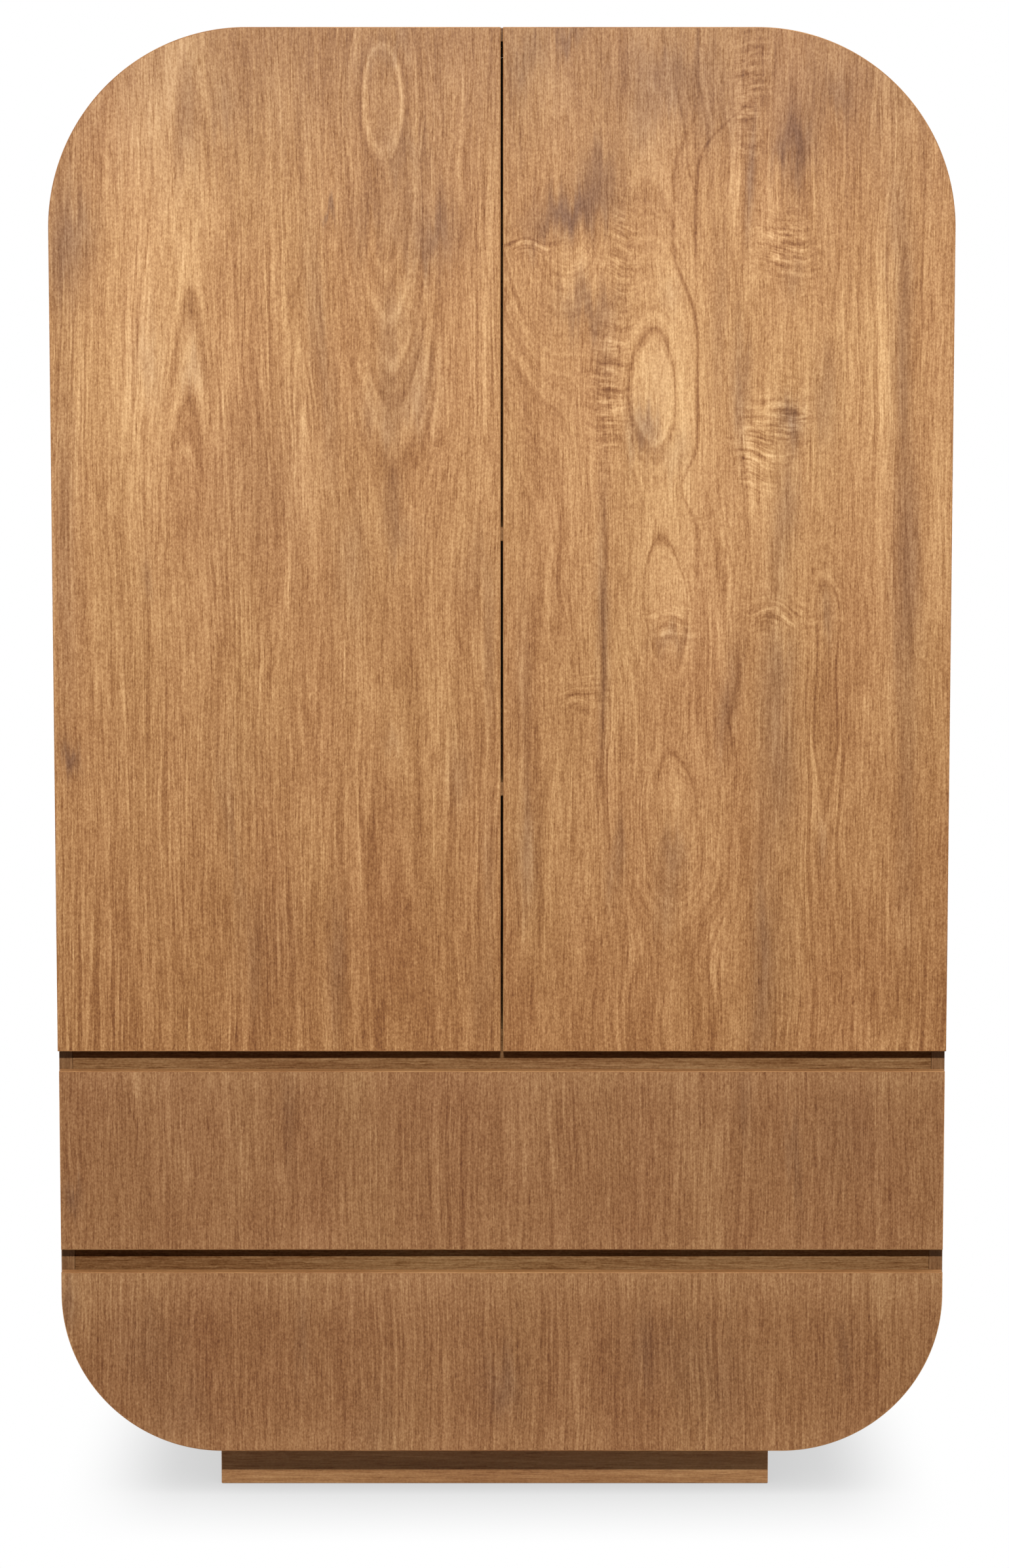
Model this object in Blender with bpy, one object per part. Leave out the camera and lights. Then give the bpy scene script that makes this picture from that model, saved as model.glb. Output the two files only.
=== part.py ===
"""Tall storage cabinet: two slab doors over two drawers, in a shell with rounded corners, on a set-back plinth.

Metres, +Z up. The front faces -Y, and the origin is on the floor under the middle of the cabinet.
"""

import math

import bmesh
import bpy

# Overall size
CABINET_WIDTH = 1.200
CABINET_HEIGHT = 1.980
CABINET_DEPTH = 0.510

# Gap kept between two pieces that touch on the real object
SEAT = 0.0003

# Shell
SHELL_BOARD = 0.018
TOP_RADIUS = 0.264
BOTTOM_RADIUS = 0.219
SHELL_ARRIS = 0.0008
ARC_STEPS = 24
BACK_THICKNESS = 0.008
BACK_INSET = 0.008

# Plinth
PLINTH_HEIGHT = 0.060
PLINTH_BOARD = 0.018
PLINTH_FRONT_RECESS = 0.058
PLINTH_BACK_RECESS = 0.030
PLINTH_SIDE_INSET = 0.0045
PLINTH_OFFSET = -0.010
PLINTH_ARRIS = 0.0015

# Doors and drawer fronts
FRONT_THICKNESS = 0.018
FRONT_GAP = 0.002
FRONT_ARRIS = 0.0012
DRAWER_FRONT_INSET = 0.0015
DOOR_GAP = 0.003
DOOR_GROOVE = 0.027
DRAWER_GROOVE = 0.031
UPPER_FRONT_HEIGHT = 0.246
LOWER_FRONT_HEIGHT = 0.250

# Rails behind the finger grooves, and the compartment floor
RAIL_THICKNESS = 0.018
UPPER_RAIL_LAP_ABOVE = 0.027
LOWER_RAIL_LAP_ABOVE = 0.010
RAIL_LAP_BELOW = 0.010
DECK_THICKNESS = 0.018

# Shelves on pins
SHELF_THICKNESS = 0.018
SHELF_ARRIS = 0.0008
SHELF_SETBACK = 0.004
SHELF_END_CLEARANCE = 0.0005
SHELF_BACK_CLEARANCE = 0.002
LOWER_BAY_HEIGHT = 0.318
MIDDLE_BAY_HEIGHT = 0.325
PIN_RADIUS = 0.0025
PIN_COLLAR_RADIUS = 0.0045
PIN_COLLAR = 0.0012
PIN_SHANK = 0.009
PIN_NOSE = 0.009
PIN_SETBACK = 0.070
PIN_HOLE_CLEARANCE = 0.00025
PIN_HOLE_SPARE_DEPTH = 0.001
PIN_HOLE_PITCH = 0.032
PIN_HOLES_EACH_WAY = 2
PIN_SIDES = 12

# Concealed hinges
HINGE_AXIS_INSET = 0.002
HINGE_END_DISTANCE = 0.100
CUP_RADIUS = 0.0175
CUP_DEPTH = 0.0115
CUP_WALL = 0.0012
CUP_FLOOR = 0.0010
CUP_EDGE_DISTANCE = 0.023
CUP_BORE_CLEARANCE = 0.0003
CUP_FLANGE_THICKNESS = 0.0010
CUP_FLANGE_LENGTH = 0.062
CUP_FLANGE_WIDTH = 0.020
CUP_LIP_RADIUS = 0.0185
CUP_SIDES = 36
ARM_HEIGHT = 0.013
ARM_TIP_CLEARANCE = 0.0004
ARM_NOSE_INNER = 0.016
ARM_NOSE_OUTER = 0.0025
ARM_SHOULDER_SETBACK = 0.004
ARM_REACH = 0.065
ARM_THICKNESS = 0.009
ARM_TAIL_THICKNESS = 0.007
PLATE_THICKNESS = 0.002
PLATE_SETBACK = 0.026
PLATE_DEPTH = 0.022
PLATE_HEIGHT = 0.052

# Drawer boxes
DRAWER_WALL = 0.015
DRAWER_BOTTOM = 0.008
DRAWER_BOTTOM_RISE = 0.012
DRAWER_BOTTOM_LET_IN = 0.006
DRAWER_BOX_HEIGHT = 0.180
DRAWER_BOX_RISE = 0.030
DRAWER_REAR_CLEARANCE = 0.026
RUNNER_PANEL = 0.018

# Drawer slides
SLIDE_WIDTH = 0.013
SLIDE_HEIGHT = 0.045
SLIDE_METAL = 0.0015
SLIDE_RUNNING_GAP = 0.0004
SLIDE_SIDE_GAP = 0.0010
SLIDE_RISE = 0.060
SLIDE_SETBACK = 0.002
SLIDE_REAR_CLEARANCE = 0.030

# Places worked out from the sizes above
half_width = CABINET_WIDTH / 2
inner_half_width = half_width - SHELL_BOARD
shell_bottom = PLINTH_HEIGHT
top_centre_z = CABINET_HEIGHT - TOP_RADIUS
bottom_centre_z = shell_bottom + BOTTOM_RADIUS
top_flat_half = half_width - TOP_RADIUS
bottom_flat_half = half_width - BOTTOM_RADIUS

front_face_y = -CABINET_DEPTH / 2
front_back_y = front_face_y + FRONT_THICKNESS
carcass_front_y = front_back_y + FRONT_GAP
carcass_back_y = CABINET_DEPTH / 2
back_panel_y = carcass_back_y - BACK_INSET - BACK_THICKNESS
rail_back_y = carcass_front_y + RAIL_THICKNESS

lower_front_top = shell_bottom + LOWER_FRONT_HEIGHT
upper_front_bottom = lower_front_top + DRAWER_GROOVE
upper_front_top = upper_front_bottom + UPPER_FRONT_HEIGHT
door_bottom = upper_front_top + DOOR_GROOVE
deck_top = door_bottom + UPPER_RAIL_LAP_ABOVE
lower_rail_top = upper_front_bottom + LOWER_RAIL_LAP_ABOVE

lower_shelf_bottom = deck_top + LOWER_BAY_HEIGHT
lower_shelf_top = lower_shelf_bottom + SHELF_THICKNESS
upper_shelf_bottom = lower_shelf_top + MIDDLE_BAY_HEIGHT

hinge_heights = [
    door_bottom + HINGE_END_DISTANCE,
    lower_shelf_top + MIDDLE_BAY_HEIGHT / 2,
    top_centre_z - HINGE_END_DISTANCE,
]
hinge_axis_x = half_width - HINGE_AXIS_INSET
hinge_axis_y = front_face_y + HINGE_AXIS_INSET
cup_x = half_width - CUP_EDGE_DISTANCE

# Colours as (red, green, blue), roughness, metallic
FINISHES = {
    "door_veneer": ((0.50, 0.27, 0.13), 0.45, 0.0),
    "drawer_veneer": ((0.33, 0.16, 0.075), 0.45, 0.0),
    "shell_veneer": ((0.36, 0.18, 0.09), 0.48, 0.0),
    "inside_veneer": ((0.34, 0.19, 0.10), 0.55, 0.0),
    "drawer_birch": ((0.66, 0.49, 0.31), 0.55, 0.0),
    "hinge_steel": ((0.62, 0.62, 0.61), 0.30, 1.0),
    "slide_steel": ((0.55, 0.56, 0.57), 0.35, 1.0),
}


def clear_scene():
    for old in list(bpy.data.objects):
        bpy.data.objects.remove(old, do_unlink=True)


def material_for(object_name, finish):
    """A material of the object's own, in one of the named finishes."""
    colour, roughness, metallic = FINISHES[finish]
    material = bpy.data.materials.new(object_name + "_finish")
    material.use_nodes = True
    shader = material.node_tree.nodes["Principled BSDF"]
    shader.inputs["Base Color"].default_value = (*colour, 1.0)
    shader.inputs["Roughness"].default_value = roughness
    shader.inputs["Metallic"].default_value = metallic
    return material


def lofted_mesh(name, rings):
    """A closed mesh through rings of equally many points, with a flat cap on the first and the last ring."""
    mesh = bpy.data.meshes.new(name)
    work = bmesh.new()
    loops = [[work.verts.new(point) for point in ring] for ring in rings]
    count = len(loops[0])
    work.faces.new(loops[0])
    work.faces.new(loops[-1])
    for near, far in zip(loops, loops[1:]):
        for here in range(count):
            after = (here + 1) % count
            work.faces.new((near[here], near[after], far[after], far[here]))
    bmesh.ops.recalc_face_normals(work, faces=work.faces)
    work.to_mesh(mesh)
    work.free()
    return mesh


def add_object(name, mesh, place, finish, carrier=None):
    """One sub-part, at a place in the world, carried by an empty if it moves."""
    piece = bpy.data.objects.new(name, mesh)
    bpy.context.collection.objects.link(piece)
    piece.location = place
    if carrier is not None:
        piece.parent = carrier
        piece.location = [mine - its for mine, its in zip(place, carrier.location)]
    if finish is not None:
        mesh.materials.append(material_for(name, finish))
    return piece


def add_box(name, low, high, finish, carrier=None):
    """A board between two corners, with its origin in its middle."""
    middle = [(a + b) / 2 for a, b in zip(low, high)]
    reach = [(b - a) / 2 for a, b in zip(low, high)]
    corners = [(-1, -1), (1, -1), (1, 1), (-1, 1)]
    rings = [[(x * reach[0], y * reach[1], z * reach[2]) for x, y in corners] for z in (-1, 1)]
    return add_object(name, lofted_mesh(name, rings), middle, finish, carrier)


def add_board(name, outline, near_y, far_y, finish, carrier=None):
    """A board cut to an outline in X and Z, with its origin on its near face."""
    rings = [[(x, y, z) for x, z in outline] for y in (0.0, far_y - near_y)]
    return add_object(name, lofted_mesh(name, rings), (0.0, near_y, 0.0), finish, carrier)


def circle(radius, sides):
    """Points round a circle, with a point straight up and down."""
    turns = [math.tau * side / sides for side in range(sides)]
    return [(radius * math.sin(turn), radius * math.cos(turn)) for turn in turns]


def soften_edges(piece, width, segments=2):
    bevel = piece.modifiers.new("eased_edges", "BEVEL")
    bevel.width = width
    bevel.segments = segments
    bevel.limit_method = "ANGLE"
    bevel.angle_limit = math.radians(40)


def cut_with(piece, cutter):
    cutter.hide_render = True
    cutter.display_type = "WIRE"
    cut = piece.modifiers.new("cut_" + cutter.name, "BOOLEAN")
    cut.operation = "DIFFERENCE"
    cut.solver = "EXACT"
    cut.object = cutter


def join_with(piece, extra):
    extra.hide_render = True
    extra.display_type = "WIRE"
    union = piece.modifiers.new("join_" + extra.name, "BOOLEAN")
    union.operation = "UNION"
    union.solver = "EXACT"
    union.object = extra


def shade_rounds(piece):
    piece.data.shade_smooth()
    piece.data.set_sharp_from_angle(angle=math.radians(35))


def carrier_at(name, place):
    """The empty that a moving group hangs from."""
    empty = bpy.data.objects.new(name, None)
    bpy.context.collection.objects.link(empty)
    empty.location = place
    return empty


def half_width_at(z, depth_in):
    """Half the cabinet's width at a height, measured on the outline that lies depth_in inside the shell."""
    half = half_width - depth_in
    if z > top_centre_z:
        radius = TOP_RADIUS - depth_in
        rise = min(z - top_centre_z, radius)
        return half - radius + math.sqrt(radius * radius - rise * rise)
    if z < bottom_centre_z:
        radius = BOTTOM_RADIUS - depth_in
        fall = min(bottom_centre_z - z, radius)
        return half - radius + math.sqrt(radius * radius - fall * fall)
    return half


def outline_heights(low_z, high_z, depth_in):
    """Heights that an outline needs between two others: more of them where it curves."""
    heights = [low_z]
    for step in range(ARC_STEPS + 1):
        turn = math.pi / 2 * step / ARC_STEPS
        heights.append(bottom_centre_z - (BOTTOM_RADIUS - depth_in) * math.cos(turn))
    for step in range(ARC_STEPS + 1):
        turn = math.pi / 2 * step / ARC_STEPS
        heights.append(top_centre_z + (TOP_RADIUS - depth_in) * math.sin(turn))
    heights.append(high_z)
    kept = sorted(z for z in heights if low_z <= z <= high_z)
    return [z for z, before in zip(kept, [None] + kept) if before is None or z - before > SEAT]


def front_outline(low_z, high_z, inner_x, depth_in=0.0):
    """The right half of a front, from inner_x out to the cabinet's outline."""
    edge = [(half_width_at(z, depth_in), z) for z in outline_heights(low_z, high_z, depth_in)]
    return [(inner_x, edge[0][1])] + edge + [(inner_x, edge[-1][1])]


def full_outline(low_z, high_z, depth_in=0.0):
    """Both halves of a front that crosses the whole cabinet."""
    edge = [(half_width_at(z, depth_in), z) for z in outline_heights(low_z, high_z, depth_in)]
    return edge + [(-x, z) for x, z in reversed(edge)]


def mirrored(outline, side):
    return [(side * x, z) for x, z in outline]


def narrowest_inside(low_z, high_z):
    """Half the clear width between the shell's walls over a span of heights."""
    return min(half_width_at(low_z, SHELL_BOARD), half_width_at(high_z, SHELL_BOARD))


def shell_ring(x, z, inward_x, inward_z):
    """The section of the shell's wall at one point of its outline, front to back, with eased outer edges."""
    section = [
        (SHELL_BOARD, carcass_front_y),
        (SHELL_ARRIS, carcass_front_y),
        (0.0, carcass_front_y + SHELL_ARRIS),
        (0.0, carcass_back_y - SHELL_ARRIS),
        (SHELL_ARRIS, carcass_back_y),
        (SHELL_BOARD, carcass_back_y),
    ]
    return [(x + inward_x * depth, y, z + inward_z * depth) for depth, y in section]


def build_straight_shell():
    """Top, bottom and the two sides of the shell."""
    top_end = top_flat_half - SEAT
    bottom_end = bottom_flat_half - SEAT
    top = [shell_ring(x, CABINET_HEIGHT, 0, -1) for x in (-top_end, top_end)]
    bottom = [shell_ring(x, shell_bottom, 0, 1) for x in (-bottom_end, bottom_end)]
    add_object("top_panel", lofted_mesh("top_panel", top), (0, 0, 0), "shell_veneer")
    add_object("bottom_panel", lofted_mesh("bottom_panel", bottom), (0, 0, 0), "shell_veneer")
    for name, side in (("left_side_panel", -1), ("right_side_panel", 1)):
        ends = (bottom_centre_z + SEAT, top_centre_z - SEAT)
        rings = [shell_ring(side * half_width, z, -side, 0) for z in ends]
        panel = add_object(name, lofted_mesh(name, rings), (0, 0, 0), "shell_veneer")
        cut_with(panel, pin_hole_cutter(name, side))


def build_shell_corners():
    """The four curved corners, each a quarter turn of the same wall."""
    corners = [
        ("top_left_corner", -1, 1, TOP_RADIUS, top_centre_z),
        ("top_right_corner", 1, 1, TOP_RADIUS, top_centre_z),
        ("bottom_left_corner", -1, -1, BOTTOM_RADIUS, bottom_centre_z),
        ("bottom_right_corner", 1, -1, BOTTOM_RADIUS, bottom_centre_z),
    ]
    for name, side, up, radius, centre_z in corners:
        centre_x = half_width - radius
        rings = []
        for step in range(ARC_STEPS + 1):
            turn = math.pi / 2 * step / ARC_STEPS
            out_x = side * math.cos(turn)
            out_z = up * math.sin(turn)
            rings.append(shell_ring(radius * out_x, radius * out_z, -out_x, -out_z))
        corner = add_object(name, lofted_mesh(name, rings), (side * centre_x, 0, centre_z), "shell_veneer")
        shade_rounds(corner)


def pin_places():
    """Y and Z of every shelf pin's axis, with the shelf's name and the pin's."""
    rows = [("front", carcass_front_y + PIN_SETBACK), ("back", back_panel_y - PIN_SETBACK)]
    shelves = [("lower", lower_shelf_bottom), ("upper", upper_shelf_bottom)]
    for shelf, underside in shelves:
        for row, y in rows:
            yield shelf, row, y, underside - SEAT - PIN_RADIUS


def pin_hole_cutter(panel_name, side):
    """Blind holes in a side panel: a short row above and below each pin."""
    radius = PIN_RADIUS + PIN_HOLE_CLEARANCE
    depth = PIN_SHANK + PIN_HOLE_SPARE_DEPTH
    mouth = inner_half_width - SHELL_BOARD
    work = bmesh.new()
    for _, _, y, z in pin_places():
        for step in range(-PIN_HOLES_EACH_WAY, PIN_HOLES_EACH_WAY + 1):
            hole_z = z + step * PIN_HOLE_PITCH
            rings = [
                [(side * x, y + dy, hole_z + dz) for dy, dz in circle(radius, PIN_SIDES)]
                for x in (mouth, inner_half_width + depth)
            ]
            hole = lofted_mesh("hole", rings)
            work.from_mesh(hole)
            bpy.data.meshes.remove(hole)
    mesh = bpy.data.meshes.new(panel_name + "_pin_holes")
    work.to_mesh(mesh)
    work.free()
    return add_object(panel_name + "_pin_holes", mesh, (0, 0, 0), None)


def build_shelf_pins():
    """Turned pins: a shank in the side panel, a collar against it and a nose under the shelf."""
    profile = [
        (PIN_RADIUS, PIN_SHANK),
        (PIN_RADIUS, -SEAT),
        (PIN_COLLAR_RADIUS, -SEAT),
        (PIN_COLLAR_RADIUS, -SEAT - PIN_COLLAR),
        (PIN_RADIUS, -SEAT - PIN_COLLAR),
        (PIN_RADIUS, -SEAT - PIN_COLLAR - PIN_NOSE),
    ]
    for side_name, side in (("left", -1), ("right", 1)):
        for shelf, row, y, z in pin_places():
            name = f"{shelf}_shelf_pin_{side_name}_{row}"
            rings = [[(side * out, dy, dz) for dy, dz in circle(radius, PIN_SIDES)] for radius, out in profile]
            pin = add_object(name, lofted_mesh(name, rings), (side * inner_half_width, y, z), "hinge_steel")
            shade_rounds(pin)


def build_inside():
    """Back panel, compartment floor, rails, shelves and the lower drawer's runner panels."""
    back_outline = full_outline(
        shell_bottom + SHELL_BOARD + SEAT, CABINET_HEIGHT - SHELL_BOARD - SEAT, SHELL_BOARD + SEAT
    )
    add_board("back_panel", back_outline, back_panel_y, back_panel_y + BACK_THICKNESS, "inside_veneer")

    deck_bottom = deck_top - DECK_THICKNESS
    reach = narrowest_inside(deck_bottom, deck_top) - SEAT
    low = (-reach, rail_back_y + SEAT, deck_bottom)
    add_box("deck_panel", low, (reach, back_panel_y - SEAT, deck_top), "inside_veneer")

    rails = [
        ("upper_rail", upper_front_top - RAIL_LAP_BELOW, deck_top),
        ("lower_rail", lower_front_top - RAIL_LAP_BELOW, lower_rail_top),
    ]
    for name, low_z, high_z in rails:
        reach = narrowest_inside(low_z, high_z) - SEAT
        add_box(name, (-reach, carcass_front_y, low_z), (reach, rail_back_y, high_z), "drawer_veneer")

    for name, low_z in (("lower_shelf", lower_shelf_bottom), ("upper_shelf", upper_shelf_bottom)):
        reach = narrowest_inside(low_z, low_z + SHELF_THICKNESS) - SEAT - PIN_COLLAR - SHELF_END_CLEARANCE
        low = (-reach, carcass_front_y + SHELF_SETBACK, low_z)
        high = (reach, back_panel_y - SHELF_BACK_CLEARANCE, low_z + SHELF_THICKNESS)
        shelf = add_box(name, low, high, "inside_veneer")
        soften_edges(shelf, SHELF_ARRIS)

    for name, side in (("left_runner_panel", -1), ("right_runner_panel", 1)):
        inner = side * (bottom_flat_half - RUNNER_PANEL)
        outer = side * bottom_flat_half
        low = (min(inner, outer), rail_back_y + SEAT, shell_bottom + SHELL_BOARD + SEAT)
        high = (max(inner, outer), back_panel_y - SEAT, lower_rail_top)
        add_box(name, low, high, "inside_veneer")


def build_plinth():
    """Four boards on edge under the shell's flat bottom, set a little to the left, as photographed."""
    left = PLINTH_OFFSET - bottom_flat_half + PLINTH_SIDE_INSET
    right = PLINTH_OFFSET + bottom_flat_half - PLINTH_SIDE_INSET
    top = PLINTH_HEIGHT - SEAT
    front = front_face_y + PLINTH_FRONT_RECESS
    back = carcass_back_y - PLINTH_BACK_RECESS
    boards = [
        ("plinth_front", (left, front, 0), (right, front + PLINTH_BOARD, top)),
        ("plinth_back", (left, back - PLINTH_BOARD, 0), (right, back, top)),
    ]
    for name, low_x in (("plinth_left", left), ("plinth_right", right - PLINTH_BOARD)):
        low = (low_x, front + PLINTH_BOARD + SEAT, 0)
        boards.append((name, low, (low_x + PLINTH_BOARD, back - PLINTH_BOARD - SEAT, top)))
    for name, low, high in boards:
        soften_edges(add_box(name, low, high, "shell_veneer"), PLINTH_ARRIS)


def cup_flange_radius(turn):
    """Distance from the cup's middle to the edge of its flange, in one direction round it."""
    across = CUP_FLANGE_WIDTH / 2 / max(abs(math.cos(turn)), 1e-6)
    along = CUP_FLANGE_LENGTH / 2 / max(abs(math.sin(turn)), 1e-6)
    return max(CUP_LIP_RADIUS, min(across, along))


def cup_rings(side):
    """Rings of a hinge cup: up its outside, round its flange and down into its hollow. Y = 0 is the door's back."""
    turns = [math.tau * step / CUP_SIDES for step in range(CUP_SIDES)]
    outer = [(CUP_RADIUS * math.cos(turn), CUP_RADIUS * math.sin(turn)) for turn in turns]
    flange = [
        (cup_flange_radius(turn) * math.cos(turn), cup_flange_radius(turn) * math.sin(turn)) for turn in turns
    ]
    hollow_radius = CUP_RADIUS - CUP_WALL
    hollow = [(hollow_radius * math.cos(turn), hollow_radius * math.sin(turn)) for turn in turns]
    face = SEAT + CUP_FLANGE_THICKNESS
    levels = [
        (outer, -CUP_DEPTH),
        (outer, SEAT),
        (flange, SEAT),
        (flange, face),
        (hollow, face),
        (hollow, -CUP_DEPTH + CUP_FLOOR),
    ]
    return [[(side * x, y, z) for x, z in points] for points, y in levels]


def arm_outline(side):
    """The hinge arm from above: its tail along the side panel and its nose inside the cup."""
    tip = front_back_y - CUP_DEPTH + CUP_FLOOR + ARM_TIP_CLEARANCE
    wall = inner_half_width - SEAT
    heel = wall - PLATE_THICKNESS / 2
    outline = [
        (heel, carcass_front_y + PLATE_SETBACK / 2),
        (heel, carcass_front_y + ARM_REACH),
        (wall - ARM_TAIL_THICKNESS, carcass_front_y + ARM_REACH),
        (wall - ARM_THICKNESS, carcass_front_y + PLATE_SETBACK),
        (inner_half_width - ARM_NOSE_INNER, carcass_front_y + ARM_SHOULDER_SETBACK),
        (inner_half_width - ARM_NOSE_INNER, tip),
        (inner_half_width - ARM_NOSE_OUTER, tip),
        (inner_half_width - ARM_NOSE_OUTER, carcass_front_y + ARM_SHOULDER_SETBACK),
    ]
    return [(side * x, y) for x, y in outline]


def build_hinges(side_name, side, carrier):
    """Cups let into a door, and the arms on the side panel that reach into them."""
    for level, z in zip(("bottom", "middle", "top"), hinge_heights):
        cup_name = f"{side_name}_hinge_cup_{level}"
        cup_place = (side * cup_x, front_back_y, z)
        cup = add_object(cup_name, lofted_mesh(cup_name, cup_rings(side)), cup_place, "hinge_steel", carrier)
        shade_rounds(cup)

        arm_name = f"{side_name}_hinge_arm_{level}"
        rings = [[(x, y, dz) for x, y in arm_outline(side)] for dz in (-ARM_HEIGHT / 2, ARM_HEIGHT / 2)]
        arm = add_object(arm_name, lofted_mesh(arm_name, rings), (0, 0, z), "hinge_steel")
        wall = inner_half_width - SEAT
        faces = sorted((side * wall, side * (wall - PLATE_THICKNESS)))
        plate_front = carcass_front_y + PLATE_SETBACK
        low = (faces[0], plate_front, z - PLATE_HEIGHT / 2)
        high = (faces[1], plate_front + PLATE_DEPTH, z + PLATE_HEIGHT / 2)
        join_with(arm, add_box(arm_name + "_plate", low, high, None))


def build_door(side_name, side):
    """A slab door on its hinge axis, with the bores for its cups."""
    carrier = carrier_at(f"{side_name}_door_axis", (side * hinge_axis_x, hinge_axis_y, door_bottom))
    outline = mirrored(front_outline(door_bottom, CABINET_HEIGHT, DOOR_GAP / 2), side)
    name = f"{side_name}_door"
    door = add_board(name, outline, front_face_y, front_back_y, "door_veneer", carrier)
    soften_edges(door, FRONT_ARRIS)
    for level, z in zip(("bottom", "middle", "top"), hinge_heights):
        rings = [
            [(dx, y, dz) for dx, dz in circle(CUP_RADIUS + CUP_BORE_CLEARANCE, CUP_SIDES)]
            for y in (-CUP_DEPTH - CUP_BORE_CLEARANCE, FRONT_THICKNESS)
        ]
        cutter_name = f"{name}_bore_{level}"
        place = (side * cup_x, front_back_y, z)
        cut_with(door, add_object(cutter_name, lofted_mesh(cutter_name, rings), place, None, carrier))
    build_hinges(side_name, side, carrier)


def channel_outline(web_x, lip_x, low_z, high_z):
    """A channel section: a web with a flange at its top and bottom, open towards lip_x."""
    inner_x = web_x + math.copysign(SLIDE_METAL, lip_x - web_x)
    return [
        (web_x, low_z),
        (lip_x, low_z),
        (lip_x, low_z + SLIDE_METAL),
        (inner_x, low_z + SLIDE_METAL),
        (inner_x, high_z - SLIDE_METAL),
        (lip_x, high_z - SLIDE_METAL),
        (lip_x, high_z),
        (web_x, high_z),
    ]


def build_slides(name, support_x, support_front_y, slide_z, carrier):
    """Both slides of a drawer: a channel on what carries it, and a rail on the box that runs in it."""
    low_z = slide_z - SLIDE_HEIGHT / 2
    high_z = slide_z + SLIDE_HEIGHT / 2
    near_y = support_front_y + SLIDE_SETBACK
    far_y = back_panel_y - SLIDE_REAR_CLEARANCE
    box_x = support_x - SLIDE_WIDTH
    channel = channel_outline(support_x - SEAT, box_x + SLIDE_SIDE_GAP, low_z, high_z)
    inset = SLIDE_METAL + SLIDE_RUNNING_GAP
    rail_tip = support_x - SEAT - SLIDE_METAL - SLIDE_SIDE_GAP
    rail = channel_outline(box_x + SEAT, rail_tip, low_z + inset, high_z - inset)
    for side_name, side in (("left", -1), ("right", 1)):
        channel_name = f"{name}_slide_channel_{side_name}"
        add_board(channel_name, mirrored(channel, side), near_y, far_y, "slide_steel")
        rail_name = f"{name}_slide_rail_{side_name}"
        add_board(rail_name, mirrored(rail, side), near_y, far_y, "slide_steel", carrier)


def build_drawer(name, front_low, front_high, support_x, support_front_y):
    """A drawer: its slab front, a box behind it and its slides, all on one carrier."""
    carrier = carrier_at(f"{name}_carrier", (0, front_face_y, front_low))
    lowest = max(front_low, shell_bottom + DRAWER_FRONT_INSET)
    outline = full_outline(lowest, front_high, DRAWER_FRONT_INSET)
    front = add_board(f"{name}_front", outline, front_face_y, front_back_y, "drawer_veneer", carrier)
    soften_edges(front, FRONT_ARRIS)

    box_x = support_x - SLIDE_WIDTH
    low_z = front_low + DRAWER_BOX_RISE
    high_z = low_z + DRAWER_BOX_HEIGHT
    floor_low = low_z + DRAWER_BOTTOM_RISE
    floor_high = floor_low + DRAWER_BOTTOM
    near_y = front_back_y + SEAT
    far_y = back_panel_y - DRAWER_REAR_CLEARANCE
    wall_x = box_x - DRAWER_WALL
    groove_x = wall_x + DRAWER_BOTTOM_LET_IN
    side_outline = [
        (box_x, low_z),
        (box_x, high_z),
        (wall_x, high_z),
        (wall_x, floor_high + SEAT),
        (groove_x, floor_high + SEAT),
        (groove_x, floor_low - SEAT),
        (wall_x, floor_low - SEAT),
        (wall_x, low_z),
    ]
    for side_name, side in (("left", -1), ("right", 1)):
        outline = mirrored(side_outline, side)
        add_board(f"{name}_{side_name}_side", outline, near_y, far_y, "drawer_birch", carrier)

    floor_reach = groove_x - SEAT
    low = (-floor_reach, near_y, floor_low)
    add_box(f"{name}_bottom", low, (floor_reach, far_y, floor_high), "drawer_birch", carrier)

    back_reach = wall_x - SEAT
    low = (-back_reach, far_y - DRAWER_WALL, floor_high + SEAT)
    add_box(f"{name}_back", low, (back_reach, far_y, high_z), "drawer_birch", carrier)

    build_slides(name, support_x, support_front_y, low_z + SLIDE_RISE, carrier)


def build_drawers():
    """The lower drawer runs between the runner panels, and the upper one between the shell's sides."""
    lower_support = bottom_flat_half - RUNNER_PANEL
    build_drawer("lower_drawer", shell_bottom, lower_front_top, lower_support, rail_back_y)
    slide_low = upper_front_bottom + DRAWER_BOX_RISE + SLIDE_RISE - SLIDE_HEIGHT / 2
    upper_support = narrowest_inside(slide_low, slide_low + SLIDE_HEIGHT)
    build_drawer("upper_drawer", upper_front_bottom, upper_front_top, upper_support, carcass_front_y)


def main():
    clear_scene()
    build_straight_shell()
    build_shell_corners()
    build_inside()
    build_shelf_pins()
    build_plinth()
    build_door("left", -1)
    build_door("right", 1)
    build_drawers()


main()
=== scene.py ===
"""Looks of the tall storage cabinet: veneers, boards, hinges, slides and fixings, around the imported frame.

Metres, +Z up, and the front faces -Y. Every piece takes its place from the frame's own nodes.
"""

import math

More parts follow.
